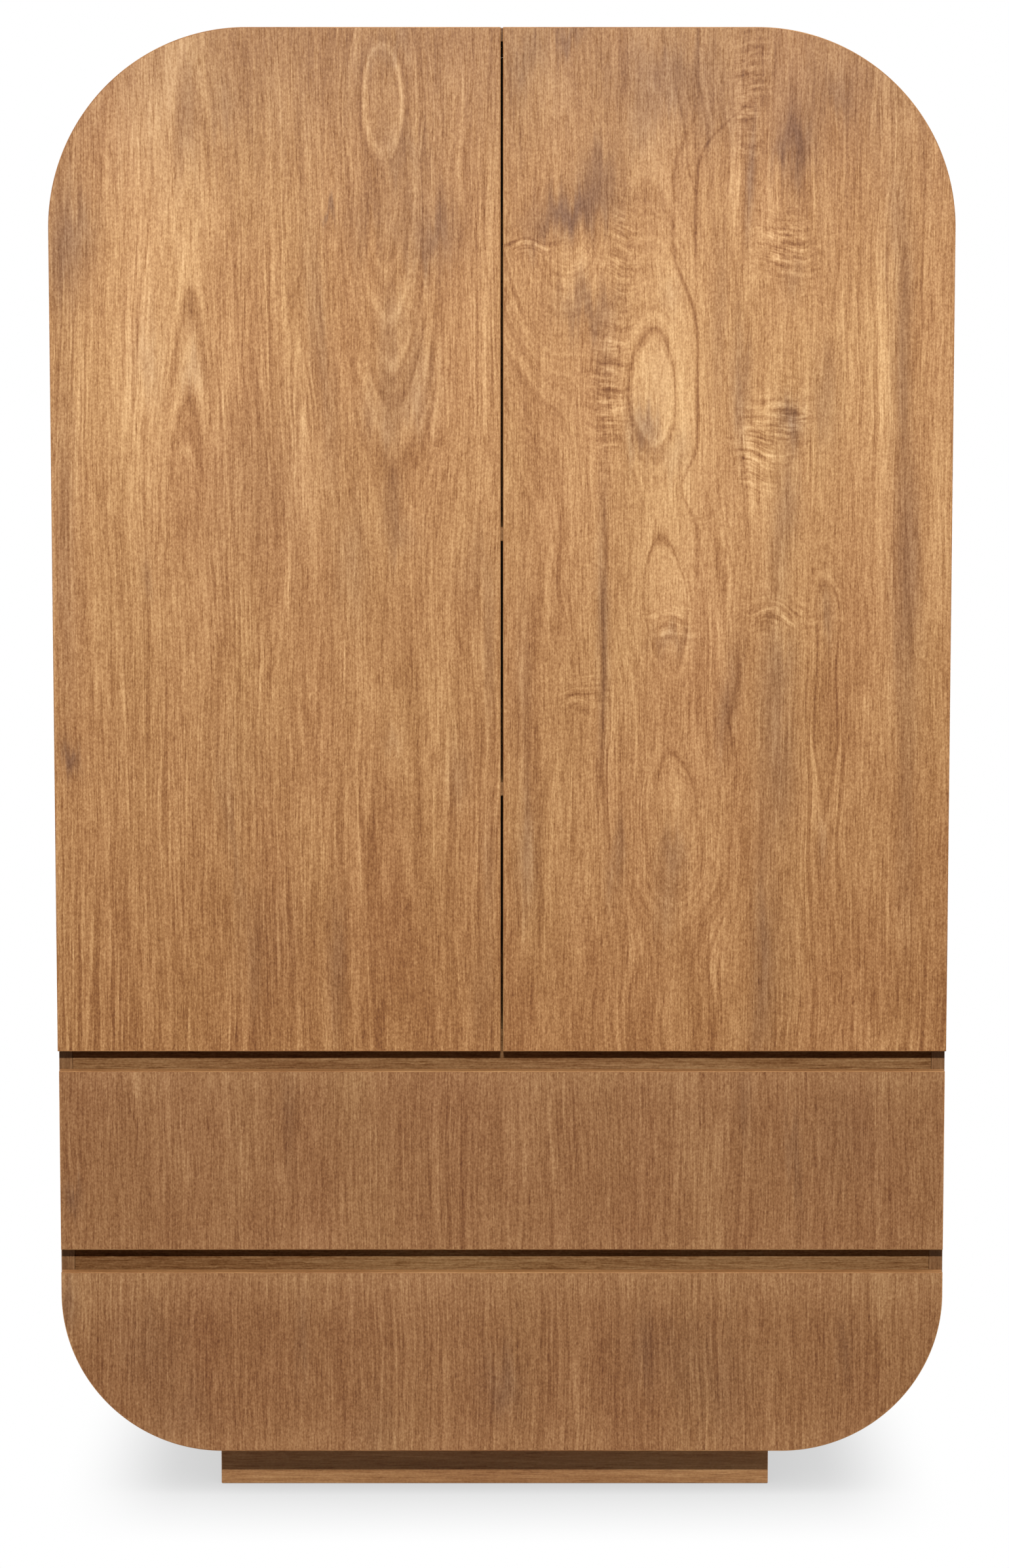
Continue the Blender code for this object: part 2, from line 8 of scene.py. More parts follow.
import bmesh
import bpy
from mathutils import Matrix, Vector


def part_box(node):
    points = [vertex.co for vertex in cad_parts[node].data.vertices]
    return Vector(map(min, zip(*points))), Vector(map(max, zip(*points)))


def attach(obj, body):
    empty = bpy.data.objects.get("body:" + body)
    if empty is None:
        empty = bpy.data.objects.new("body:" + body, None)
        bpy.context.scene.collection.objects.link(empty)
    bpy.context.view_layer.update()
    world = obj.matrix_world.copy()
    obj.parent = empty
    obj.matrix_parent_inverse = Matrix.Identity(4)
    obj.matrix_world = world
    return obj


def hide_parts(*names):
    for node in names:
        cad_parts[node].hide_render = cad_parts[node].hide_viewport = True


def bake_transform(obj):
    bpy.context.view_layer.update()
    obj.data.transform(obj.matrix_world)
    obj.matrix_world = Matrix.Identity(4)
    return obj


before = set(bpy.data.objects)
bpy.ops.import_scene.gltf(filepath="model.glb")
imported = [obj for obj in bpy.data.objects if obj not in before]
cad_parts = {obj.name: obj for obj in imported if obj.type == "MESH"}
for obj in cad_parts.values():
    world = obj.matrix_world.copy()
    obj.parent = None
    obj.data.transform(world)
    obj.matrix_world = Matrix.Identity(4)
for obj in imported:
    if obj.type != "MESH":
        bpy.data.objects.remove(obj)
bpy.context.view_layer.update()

# The camera: where it stands, how far it looks down, and its lens on a 36 mm sensor
CAMERA_PLACE = (0.0035, -6.255, 1.675)
CAMERA_PITCH = 6.63
SENSOR = 36.0
PHOTO_HEIGHT = 2393
FOCAL_PIXELS = 6875

# Lights as (name, place, aim, width, height, watts, spread in degrees)
LIGHTS = [
    ("key", (0.0, -7.20, 5.15), (0.0, -0.25, 0.95), 1.60, 0.22, 700.0, 180),
    ("left_fill", (-4.2, 1.5, 1.2), (-0.6, 0.1, 1.0), 1.8, 1.8, 24.0, 60),
    ("right_fill", (4.2, 1.5, 1.2), (0.6, 0.1, 1.0), 1.8, 1.8, 24.0, 60),
    ("back_fill", (0.0, 4.6, 1.4), (0.0, 0.26, 1.0), 2.4, 1.6, 15.0, 60),
    ("top_fill", (0.0, 0.6, 4.4), (0.0, 0.1, 1.98), 1.2, 1.0, 4.0, 40),
]
AMBIENT = 0.025
FLOOR_SIZE = 30.0
SHEET_COLOUR = 0.45
FLOOR_COLOUR = 0.04
SHEET_EDGE = (0.80, 1.05)
SHADOW_REACH = 0.25
SHADOW_DEPTH = 0.42
SHADOW_HALF_WIDTH = (0.44, 0.62)

# Fine sizes of the visible surface. A crease is the angle in degrees at which shading breaks.
EDGE_BAND = 0.0012
ARRIS = 0.0010
ARRIS_STEPS = 4
SMALL_ARRIS = 0.0004
SEAM = 0.00015
ARC_STEPS = 72
SMALL_CORNER = 0.0006
CORNER_STEPS = 3
BOARD_EASE = 0.0009
PLINTH_EASE = 0.0014
THIN_BOARD_EASE = 0.0006
WOOD_CREASE = 10.0
METAL_CREASE = 35.0
SEAT = 0.0003
TURNED_SIDES = 32
BORE_SIDES = 48
BORE_OVERRUN = 0.01

# Hardware. Screw heads are (radius, rise), and hinge parts are placed from the wall and the hinge's middle.
BACK_SCREW = (0.0036, 0.0008)
BACK_SCREW_INSET = 0.012
BACK_SCREW_SPACING = 0.16
CUP_SCREW = (0.0036, 0.0005)
CUP_SCREW_UP = 0.024
PLATE_SCREW = (0.0040, 0.0012)
PLATE_SCREW_UP = 0.018
ARM_SCREW = (0.0034, 0.0010)
SLIDE_SCREW = (0.0036, 0.0009)
SLIDE_SCREW_SHARES = (0.08, 0.36, 0.64, 0.92)
PIN_HOLE = (0.00275, 0.010)
PIN_HOLE_SPACING = 0.032
CUP_CLEARANCE = 0.0008
CUP_LIP = 0.001
WING_HALF_WIDTH = 0.0090
WING_CORNER = 0.004
PLATE_BACK = 0.026
PLATE_THICKNESS = 0.0020
PLATE_WIDTH = 0.022
PLATE_HALF_HEIGHT = 0.026
ARM_HALF_HEIGHT = 0.0060
CROWN_HALF_HEIGHT = 0.0036
NOSE_NEAR = 0.0022
NOSE_FAR = 0.0157
SHOULDER_BACK = 0.004
LINK_ACROSS = (0.0130, 0.0080)
LINK_UP = (0.0064, 0.0088)
LINK_CORNER = 0.0005
LINK_STEPS = 28
SHEET_METAL = 0.0015
CHANNEL_CORNER = 0.0024
CAGE_ACROSS = (0.0040, 0.0090)
CAGE_ALONG = (0.004, 0.120)
CAGE_THICKNESS = 0.0003
CAGE_EASE = 0.0001
STOP_ACROSS = (0.0017, 0.0027)
STOP_ALONG = (0.0005, 0.006)
STOP_INSET = 0.008
STOP_EASE = 0.0003
GROOVE_DEPTH = 0.006
BUMPER_ACROSS = 0.035
BUMPER_DROP = 0.012
SIDES = (("left", -1), ("right", 1))
LEVELS = ("bottom", "middle", "top")
WHITE = (1.0, 1.0, 1.0, 1.0)

# Places worked out from the frame
shell_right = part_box("right_side_panel")
half_width = shell_right[1].x
shell_board = shell_right[1].x - shell_right[0].x
top_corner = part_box("top_right_corner")
bottom_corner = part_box("bottom_right_corner")
top_radius = top_corner[1].z - top_corner[0].z
bottom_radius = bottom_corner[1].z - bottom_corner[0].z
shell_top = top_corner[1].z
shell_bottom = bottom_corner[0].z
front_back_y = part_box("right_door")[1].y
carcass_front_y = shell_right[0].y
carcass_back_y = shell_right[1].y


def arithmetic(operation):
    """A method that adds one Math node to a signal's graph."""
    return lambda signal, other: signal.graph.math(operation, signal, other)


class Signal:
    """What one socket gives: a number, colour, place or shader that varies over a surface."""

    def __init__(self, graph, socket):
        self.graph = graph
        self.socket = socket

    __add__ = __radd__ = arithmetic("ADD")
    __mul__ = __rmul__ = arithmetic("MULTIPLY")
    __sub__ = arithmetic("SUBTRACT")
    __truediv__ = arithmetic("DIVIDE")
    __pow__ = arithmetic("POWER")

    def __rsub__(self, other):
        return self.graph.math("SUBTRACT", other, self)


class Graph:
    """One material or world and the nodes that make it, written as formulas."""

    def __init__(self, name, kind=bpy.data.materials, shader="Principled BSDF"):
        self.block = kind.new(name)
        self.block.use_nodes = True
        self.tree = self.block.node_tree
        self.shader = self.tree.nodes[shader]

    def plug(self, socket, value):
        if isinstance(value, Signal):
            self.tree.links.new(value.socket, socket)
        else:
            socket.default_value = value

    def node(self, kind, inputs, output=0, **settings):
        made = self.tree.nodes.new(kind)
        for key, value in settings.items():
            setattr(made, key, value)
        for key, value in inputs.items():
            self.plug(made.inputs[key], value)
        return Signal(self, made.outputs[output])

    def math(self, operation, *values):
        return self.node("ShaderNodeMath", dict(enumerate(values)), operation=operation)

    def fused(self, value, factor, addend):
        """value times factor plus addend, in one node."""
        return self.math("MULTIPLY_ADD", value, factor, addend)

    def layered(self, level, parts):
        """The level with each (signal, weight) added to it."""
        for signal, weight in parts:
            level = self.fused(signal, weight, level)
        return level

    def place(self, kind, output, **settings):
        """The three numbers of the place that a node gives."""
        made = self.tree.nodes.new("ShaderNodeSeparateXYZ")
        self.plug(made.inputs[0], self.node(kind, {}, output, **settings))
        return [Signal(self, socket) for socket in made.outputs]

    def noise(self, x, y, z=0.0, detail=2.0, roughness=0.5):
        """Smooth noise about zero, mostly between -0.25 and 0.25, with features one unit wide."""
        vector = self.node("ShaderNodeCombineXYZ", {0: x, 1: y, 2: z})
        inputs = {"Vector": vector, "Scale": 1.0, "Detail": detail, "Roughness": roughness}
        return self.node("ShaderNodeTexNoise", inputs) - 0.5

    def bell(self, square):
        """One where the square is zero, falling off smoothly as it grows."""
        return self.math("POWER", math.exp(-1.0), square)

    def patch(self, place, centre, reach, tilt=0.0):
        """One at the centre, falling off smoothly over the reach across and along, and leaning by degrees."""
        across = self.fused(place[0], 1 / reach[0], -centre[0] / reach[0])
        along = self.fused(place[1], 1 / reach[1], -centre[1] / reach[1])
        if tilt:
            across = self.fused(along, math.tan(math.radians(tilt)) * reach[1] / reach[0], across)
        return self.bell(self.fused(across, across, along * along))

    def step(self, value, low, high):
        """Zero below low, one above high, and smooth between."""
        inputs = {"Value": value, "From Min": low, "From Max": high}
        return self.node("ShaderNodeMapRange", inputs, interpolation_type="SMOOTHSTEP")

    def ramp(self, value, stops):
        """A colour from evenly spread stops."""
        made = self.tree.nodes.new("ShaderNodeValToRGB")
        made.color_ramp.interpolation = "LINEAR"
        elements = made.color_ramp.elements
        for index, colour in enumerate(stops):
            place = index / (len(stops) - 1)
            element = elements[index] if index < 2 else elements.new(place)
            element.position = place
            element.color = (*colour, 1.0)
        self.plug(made.inputs[0], value)
        return Signal(self, made.outputs[0])

    def bump(self, height, distance):
        """Relief on the surface, where a height of one stands up by the distance."""
        inputs = {"Height": height, "Distance": distance, "Strength": 1.0}
        self.look(Normal=self.node("ShaderNodeBump", inputs))

    def look(self, **values):
        """Sets the shader's inputs, with _ for each space in their names."""
        for name, value in values.items():
            self.plug(self.shader.inputs[name.replace("_", " ")], value)


# Colours from dark latewood to pale earlywood, as linear red, green and blue
BROWN_WOOD = [
    (0.135, 0.042, 0.011),
    (0.220, 0.080, 0.022),
    (0.338, 0.146, 0.047),
    (0.490, 0.241, 0.092),
    (0.665, 0.366, 0.156),
    (0.850, 0.514, 0.239),
    (0.980, 0.622, 0.315),
]
# What a dark patch multiplies the colour by at full strength, and its strength for each unit of tone
# A dark patch is mostly the wood's own dark figure, but the row that darkens each door's top is painted
# shade.
STAIN_AND_SHADE = (0.42, 0.39, 0.51)
STAIN_AND_SHADE_OF_TONE = 3.1
WOOD_RELIEF = 0.00022
METAL_RELIEF = 0.00006
MOULDED_RELIEF = 0.00008
PALE_WOOD = [
    (0.420, 0.290, 0.170),
    (0.560, 0.410, 0.255),
    (0.660, 0.500, 0.325),
    (0.740, 0.580, 0.395),
    (0.800, 0.655, 0.475),
]


def fibre_texture(graph, across, along, through):
    """Fine fibres, specks and open pores that run with the grain: (fibres, specks, pores from 0 to 1)."""
    fibres = graph.noise(across * 480, along * 15, through * 480, roughness=0.7)
    specks = graph.noise(across * 500 + 17.0, along * 300, through * 500, detail=1.0)
    pore_noise = graph.noise(across * 640 + 31.0, along * 40, through * 640, detail=1.0)
    pores = graph.step(pore_noise, 0.06, 0.20)
    return fibres, specks, pores


def grain_lines(graph, ring, along):
    """Growth lines at three scales across the ring distance: (broad, middle, fine), each about zero."""
    broad = graph.noise(ring * 24, along * 0.9)
    middle = graph.noise(ring * 92, along * 2.0, 4.0, roughness=0.6)
    fine = graph.noise(ring * 260, along * 7.0, 9.0, roughness=0.65)
    return broad, middle, fine


def ring_edges(graph, ring, x, along, seed):
    """Thin pale growth lines, each with a dark one beside it, that come and go: (pale, dark), from 0 to 1."""
    wave = graph.noise(ring * 80, along * 1.3, seed, detail=1.0)
    pale = graph.bell((wave / 0.042) ** 2.0)
    dark = graph.bell(((wave - 0.085) / 0.040) ** 2.0)
    shown = graph.step(graph.noise(x * 13, along * 3.5, seed + 5.0, detail=1.0), -0.10, 0.14)
    return pale * shown, dark * shown


def finish_wood(
    graph, tone, fibres, pores, stops, roughness, cloud, stain_and_shade=0.0, shade=1.0, gloss=0.26, hue=0.5,
):
    """Colour from the tone, the stain and the painted shade, sheen that follows it, and the relief of fibres
    and pores.
    """
    colour = graph.ramp(tone, stops)
    tint = {"Color": colour, "Hue": graph.fused(cloud, 0.008, hue), "Saturation": 1.0, "Value": shade}
    tinted = graph.node("ShaderNodeHueSaturation", tint)
    stained_and_shaded = graph.node(
        "ShaderNodeMixRGB", {"Fac": stain_and_shade, "Color1": tinted, "Color2": (*STAIN_AND_SHADE, 1.0)},
        blend_type="MULTIPLY",
    )
    rough = graph.fused(fibres, 0.30, roughness) + pores * 0.10
    graph.look(Base_Color=stained_and_shaded, Roughness=rough, Specular_IOR_Level=gloss)
    graph.bump(fibres * 0.8 - pores * 0.55, WOOD_RELIEF)


def board_wood(
    name, stops, tone, contrast, roughness=0.55, shade=1.0, gloss=0.26, wave=0.0, painted_edge_shade=1.0,
):
    """Plain straight-grained wood for boards. It reads the piece's own grain coordinates.

    Wave is how far its lines ripple. The edge shade darkens the shell's front edge: painted shade, for where
    that edge shows in the shaded grooves between the fronts.
    """
    graph = Graph(name)
    across, along, through = graph.place("ShaderNodeAttribute", "Vector", attribute_name="grain")
    sway = graph.noise(across * 5, along * 1.1, through * 5, detail=1.0)
    ring = graph.fused(sway, 0.035, across) + through * 0.8
    if wave:
        ring = graph.fused(graph.noise(across * 60, along * 45, 2.0, detail=1.0), wave, ring)
    # Painted shade: the shell's front edge, which shows in the recessed grooves, is darkened.
    if painted_edge_shade < 1.0:
        behind = graph.step(across, carcass_front_y, carcass_front_y + ARRIS)
        shade = graph.fused(behind, shade - painted_edge_shade, painted_edge_shade)
    broad, middle, fine = grain_lines(graph, ring, along)
    fibres, specks, pores = fibre_texture(graph, across, along, through)
    cloud = graph.noise(across * 9, along * 2.2, through * 9)
    parts = [
        (broad, 0.36), (cloud, 0.34), (middle, 0.36), (fine, 0.36),
        (fibres, 0.50), (specks, 0.30), (pores, -0.12),
    ]
    level = graph.layered(tone, [(signal, weight * contrast) for signal, weight in parts])
    finish_wood(graph, level, fibres, pores, stops, roughness, cloud, shade=shade, gloss=gloss)
    return graph.block


# The figured veneer of the fronts. A heart is where the cut ran nearest the tree's middle: growth lines nest
# round it. Its place across drifts with height, and its depth sets how far apart the lines close over it.
# The tables hold lengths in millimetres and changes of tone in hundredths.
# Patches are (across, height, half width, half height, change of tone), with a tilt in degrees if they lean.
LEFT_DOOR_PATCHES = [
    # The first row, as wide as the door, darkens its top: painted shade.
    (0, 1980, 9000, 200, -12), (-467, 1887, 52, 128, 16), (-480, 1647, 52, 223, 14),
    (-493, 1448, 39, 104, 6), (-295, 1853, 19, 94, 8), (-577, 1699, 24, 83, -20),
    (-583, 1309, 18, 226, -10), (-579, 1014, 14, 22, -26), (-242, 1561, 12, 147, -10, 5),
    (-230, 1726, 8, 9, -20), (-96, 1716, 46, 60, -13), (-85, 1700, 18, 28, -9), (-178, 1733, 36, 45, -7),
    (-151, 1535, 12, 95, -8), (-145, 1352, 14, 52, -10), (-61, 1870, 33, 111, 6), (-247, 1853, 12, 94, 7),
    (-319, 1378, 87, 130, -5), (-310, 761, 44, 98, -5), (-222, 735, 11, 89, -13), (-194, 797, 9, 133, 6),
    (-360, 895, 10, 97, -8, 8), (-336, 717, 10, 71, -7), (-58, 992, 16, 40, -9),
    (-458, 1203, 7, 36, 10, 5), (-472, 1256, 8, 35, -10), (-415, 1887, 10, 47, -5),
    (-529, 841, 53, 177, 3), (-405, 1725, 30, 45, 13), (-413, 1590, 14, 40, -3), (-416, 1840, 18, 50, -4),
    (-115, 1525, 35, 50, -9), (-131, 1815, 40, 35, -9), (-200, 1275, 20, 70, -8), (-270, 1400, 36, 60, 5),
    (-64, 1915, 20, 30, 6), (-44, 1613, 25, 55, 5), (-54, 1512, 15, 55, 7), (-18, 1159, 9, 100, -8),
    (-18, 874, 10, 70, -8), (-137, 1605, 28, 28, -6), (-548, 1715, 18, 42, -8), (-363, 1882, 16, 30, -7),
    (-132, 1965, 14, 25, -6), (-423, 1445, 34, 75, 4), (-26, 699, 18, 70, -5), (-34, 1265, 22, 50, -5),
    (-410, 1528, 15, 30, -10), (-142, 1462, 36, 30, -7), (-153, 1110, 22, 45, 7), (-236, 1751, 14, 30, 7),
    (-79, 1441, 15, 50, 7), (-600, 1733, 14, 60, 6), (-132, 1310, 24, 24, -7), (-413, 1615, 12, 18, 6),
    (-526, 1899, 18, 26, 6), (-585, 1145, 32, 70, 3), (-359, 996, 42, 60, -3), (-469, 1548, 19, 55, -9),
    (-176, 1487, 10, 32, -7), (-258, 1058, 15, 40, 6), (-113, 1477, 16, 26, -6), (-145, 1040, 13, 22, -7),
    (-163, 1951, 26, 14, -6), (-126, 1231, 20, 70, 5), (-391, 1386, 15, 36, 5),
]
RIGHT_DOOR_PATCHES = [
    # The first row, as wide as the door, darkens its top: painted shade.
    (0, 1980, 9000, 200, -12), (226, 1420, 40, 200, 9), (68, 1896, 24, 68, 9),
    (105, 1746, 44, 28, -22, -12), (128, 1792, 26, 34, -15), (40, 1716, 30, 16, -5, 10),
    (99, 1672, 43, 22, 8), (112, 1612, 36, 28, -17), (138, 1552, 14, 60, -8), (222, 1640, 30, 80, 10),
    (192, 1445, 17, 28, -19), (244, 1480, 20, 120, 10), (226, 1235, 13, 36, 5), (231, 950, 14, 40, 10),
    (228, 872, 20, 30, -13), (226, 1170, 26, 18, -10), (219, 1917, 69, 38, -10),
    (328, 1780, 6, 65, -20, -3), (313, 1844, 8, 102, 9), (352, 1759, 14, 69, 12),
    (390, 1825, 20, 40, -18), (385, 1870, 26, 60, -6), (384, 1462, 18, 30, -20), (384, 1361, 14, 52, -12),
    (343, 1396, 17, 90, 12), (310, 1120, 10, 60, -10), (296, 1060, 9, 40, -14), (362, 1075, 22, 120, -13),
    (352, 761, 13, 133, -16), (136, 1190, 7, 160, -17), (504, 1450, 14, 200, 5), (431, 1500, 18, 60, -10),
    (78, 1725, 30, 22, -16), (578, 1475, 16, 100, 10), (102, 1650, 22, 24, 14), (38, 640, 30, 30, 6),
    (37, 930, 12, 70, -10), (74, 970, 10, 65, 7), (430, 1935, 36, 26, 8), (539, 1858, 12, 22, 6),
    (33, 1945, 26, 35, -9), (380, 985, 18, 80, -8), (250, 910, 50, 90, 5), (277, 1866, 40, 35, -6),
    (515, 630, 70, 28, 8), (532, 1560, 12, 150, -15), (540, 1270, 18, 150, -17), (544, 957, 14, 176, -8),
    (570, 1733, 16, 90, 8), (582, 1290, 12, 110, 12), (153, 864, 10, 41, -12), (93, 797, 34, 133, 6),
    (434, 1205, 9, 40, -13), (431, 904, 7, 34, -10), (30, 1107, 11, 123, -7), (34, 859, 14, 80, -10),
    (448, 1904, 47, 47, -4), (129, 1412, 18, 40, 8), (221, 816, 16, 35, -9), (190, 1856, 32, 42, -8),
    (517, 1727, 14, 70, -8), (337, 1885, 13, 45, 7), (316, 1505, 11, 80, -16), (288, 1595, 10, 85, -6),
    (330, 1700, 8, 60, 8), (377, 1440, 18, 30, -6), (385, 1655, 14, 30, -8), (370, 1300, 14, 80, -8),
    (444, 1885, 20, 24, -8), (520, 1150, 16, 90, 7), (177, 1570, 14, 40, 7), (226, 1019, 14, 22, 8),
    (375, 735, 30, 100, -5), (208, 1520, 22, 70, -3), (89, 1975, 20, 18, -14), (118, 1832, 60, 30, 4),
    (33, 1163, 28, 45, 4), (368, 1826, 12, 24, -9), (233, 1418, 18, 30, -7), (339, 636, 24, 34, -4),
    (119, 1353, 32, 60, 3), (173, 1465, 13, 40, -7), (377, 1140, 18, 40, -7), (248, 1263, 14, 36, 6),
    (225, 1637, 15, 28, -6), (586, 1625, 13, 90, 5), (345, 1671, 24, 16, 6), (224, 1870, 15, 23, -6),
]
UPPER_DRAWER_PATCHES = [
    (-257, 360, 30, 40, 5), (-584, 411, 12, 20, -18), (-466, 510, 62, 81, 5), (-289, 528, 9, 72, -8),
    (-268, 357, 12, 27, 10), (30, 528, 27, 81, 6), (254, 474, 11, 99, 8), (296, 501, 14, 72, 5),
    (329, 546, 9, 45, -9), (396, 465, 7, 72, -10, 7), (465, 501, 53, 72, -4), (-130, 550, 60, 35, 3),
    (-519, 574, 42, 28, 4),
]
LOWER_DRAWER_PATCHES = [
    (-592, 262, 14, 30, -14), (-434, 114, 45, 40, -6), (-558, 266, 45, 54, 6), (-478, 202, 53, 55, -6),
    (-137, 266, 7, 54, 10), (-271, 212, 9, 55, -9), (-1, 157, 27, 46, -12), (235, 202, 80, 55, -6),
    (294, 144, 45, 55, -5), (-171, 91, 30, 45, -5), (467, 202, 11, 55, -10), (556, 266, 27, 45, 5),
    (195, 202, 11, 55, -8), (5, 125, 16, 26, -7), (429, 293, 34, 32, 4),
]


def left_door_rings(graph, x, z):
    """Two hearts: a tall one whose lines close upward, and one with an eye near the top."""
    tall_depth = graph.math("MAXIMUM", (z - 1.25) * 0.0049, 0.00002)
    tall = graph.math("SQRT", (x + 0.415) ** 2.0 + tall_depth)
    from_eye = z - 1.885
    near_eye = graph.math("MINIMUM", graph.math("POWER", from_eye / 0.079, 2.0), 1.0) * 0.000784
    above_eye = graph.math("MAXIMUM", from_eye - 0.079, 0.0) * 0.012
    below_eye = graph.step(z, 1.81, 1.18) * 0.0072
    drift = graph.step(z, 1.82, 1.35) * 0.016
    eyed = graph.math("SQRT", (x + 0.157 - drift) ** 2.0 + near_eye + above_eye + below_eye + 0.0004)
    eyed = graph.math("SMOOTH_MAX", eyed, 0.027, 0.004)
    return graph.math("SMOOTH_MIN", tall, eyed + 0.012, 0.03)


def right_door_rings(graph, x, z):
    """Three hearts: arcs that close downward, a chain of pointed loops, and a long narrow eye."""
    arcs_depth = graph.step(z, 1.74, 1.30) * 0.0200
    arcs = graph.math("SQRT", (x - 0.084) ** 2.0 + arcs_depth + 0.0003)
    swing = graph.math("SINE", (z - 1.216) * (math.pi / 0.285))
    drift = graph.step(z, 1.60, 0.98) * 0.035
    ends = graph.step(z, 1.57, 1.80) * 0.0070 + graph.step(z, 0.87, 0.72) * 0.0040
    chain = graph.math("SQRT", (x - 0.196 - drift) ** 2.0 + swing * swing * 0.0012 + ends + 0.00005)
    chain = graph.math("SMOOTH_MAX", chain, 0.024, 0.005)
    eye_ends = graph.step(z, 1.20, 1.36) * 0.0012 + graph.step(z, 1.08, 0.80) * 0.0003
    long_eye = graph.math("SQRT", (x - 0.434) ** 2.0 + eye_ends + 0.00002)
    long_eye = graph.math("SMOOTH_MAX", long_eye, 0.009, 0.003)
    two = graph.math("SMOOTH_MIN", arcs, chain, 0.02)
    return graph.math("SMOOTH_MIN", two, long_eye + 0.01, 0.02)


def straight_rings(graph, x, z):
    """Lines that run nearly straight up a drawer front."""
    lean = graph.noise(x * 3.0, z * 2.0, 5.0, detail=1.0)
    return graph.fused(lean, 0.02, x)


def scaled(row):
    """A table row in metres, with the change of tone that ends it in whole units."""
    *lengths, change = row
    return (*(length / 1000 for length in lengths), change / 100)


def figured_wood(
    name, rings_of, patches, tone, shading, accents=(), joints=(), ripples=(), strands=(),
    seed=0.0, warp=1.0, boldness=1.0, shade=1.0, hue=0.5,
):
    """Flat-cut veneer with its own figure, in the piece's own grain coordinates.

    Shading is how the tone changes with height, as (height where it starts, height where it is full, change).
    Accents are lines that show more than their neighbours, as (ring distance, half width, across, height,
    half reach across, half reach along, change of tone). Joints are where one leaf of veneer ends, as
    (across, change of tone to its right). Ripples are cross figure, as (across, height, reach across,
    reach along, strength). Strands are single upright lines, as (across, half width, height, half reach
    along, change of tone, bends), and each bend is (height, shift across, half height). Warp is how far
    the growth lines stray from their plain form, and boldness how much they show. A hue under 0.5 is redder.
    """
    graph = Graph(name)
    x, z, through = graph.place("ShaderNodeAttribute", "Vector", attribute_name="grain")

    sway = graph.noise(x * 7, z * 2.6, seed)
    waver = graph.noise(x * 24, z * 9, seed + 3.0, detail=1.0)
    swayed = graph.fused(waver, 0.006 * warp, graph.fused(sway, 0.024 * warp, x))
    ring = rings_of(graph, swayed, z)
    leaf_level = 0.0
    leaf_shift = 0.0
    for across, change in map(scaled, joints):
        beyond = graph.math("GREATER_THAN", x, across)
        leaf_level = graph.fused(beyond, change, leaf_level)
        leaf_shift = graph.fused(beyond, 0.7, leaf_shift)
    shifted = ring + leaf_shift
    broad, middle, fine = grain_lines(graph, shifted, z + seed)
    pale_lines, dark_lines = ring_edges(graph, shifted, x, z, seed + 21.0)
    straight = graph.noise(swayed * 190, z * 4.5, seed + 25.0, roughness=0.6)
    fibres, specks, pores = fibre_texture(graph, graph.fused(sway, 0.020, x), z, through)

    streak = graph.noise(x * 60, z * 5.0, seed + 7.0, detail=3.0, roughness=0.6)
    streaky = (graph.fused(streak, 0.026, x), graph.fused(streak, 0.16, z))
    level = leaf_level + tone
    for start, full, change in map(scaled, shading):
        level = graph.fused(graph.step(z, start, full), change, level)
    stain_and_shade = 0.0
    # Darkening rows multiply the colour through the stain and painted shade: the wood's dark figure, and the
    # painted shade at the door's top.
    for row in patches:
        across, height, half_across, half_along, change = scaled(row[:5])
        patch = graph.patch(streaky, (across, height), (half_across, half_along), *row[5:])
        if change > 0:
            level = graph.fused(patch, change, level)
        else:
            stain_and_shade = graph.fused(patch, -change * STAIN_AND_SHADE_OF_TONE, stain_and_shade)

    for distance, half, across, height, reach_across, reach_along, change in map(scaled, accents):
        line = graph.bell(((ring - distance) / half) ** 2.0)
        local = graph.patch((x, z), (across, height), (reach_across, reach_along))
        level = graph.fused(line * local, change, level)
    for *row, bends in strands:
        across, half, height, reach, change = scaled(row)
        strand_x = graph.fused(sway, 0.012, x)
        for bend_height, shift, bend_reach in bends:
            bend = graph.bell(((z - bend_height / 1000) / (bend_reach / 1000)) ** 2.0)
            strand_x = graph.fused(bend, -shift / 1000, strand_x)
        level = graph.fused(graph.patch((strand_x, z), (across, height), (half, reach)), change, level)
    rippled = 0.0
    for across, height, reach_across, reach_along, strength in map(scaled, ripples):
        local = graph.patch((x, z), (across, height), (reach_across, reach_along))
        rippled = graph.fused(local, strength, rippled)
    if ripples:
        feather = graph.noise(x * 24, z * 120 + sway * 14, seed, detail=3.0, roughness=0.65)
        level = feather * rippled + level

    cloud = graph.noise(x * 9, z * 2.4, seed + 12.0)
    level = graph.layered(level, [
        (cloud, 0.14), (streak, 0.10 * boldness), (broad, 0.16 * boldness), (middle, 0.20 * boldness),
        (pale_lines, 0.15 * boldness), (dark_lines, -0.11 * boldness), (straight, 0.26 * boldness),
        (fine, 0.38 * boldness), (fibres, 0.50), (specks, 0.54), (pores, -0.12),
    ])
    finish_wood(graph, level, fibres, pores, BROWN_WOOD, 0.52, cloud, stain_and_shade, shade, hue=hue)
    return graph.block


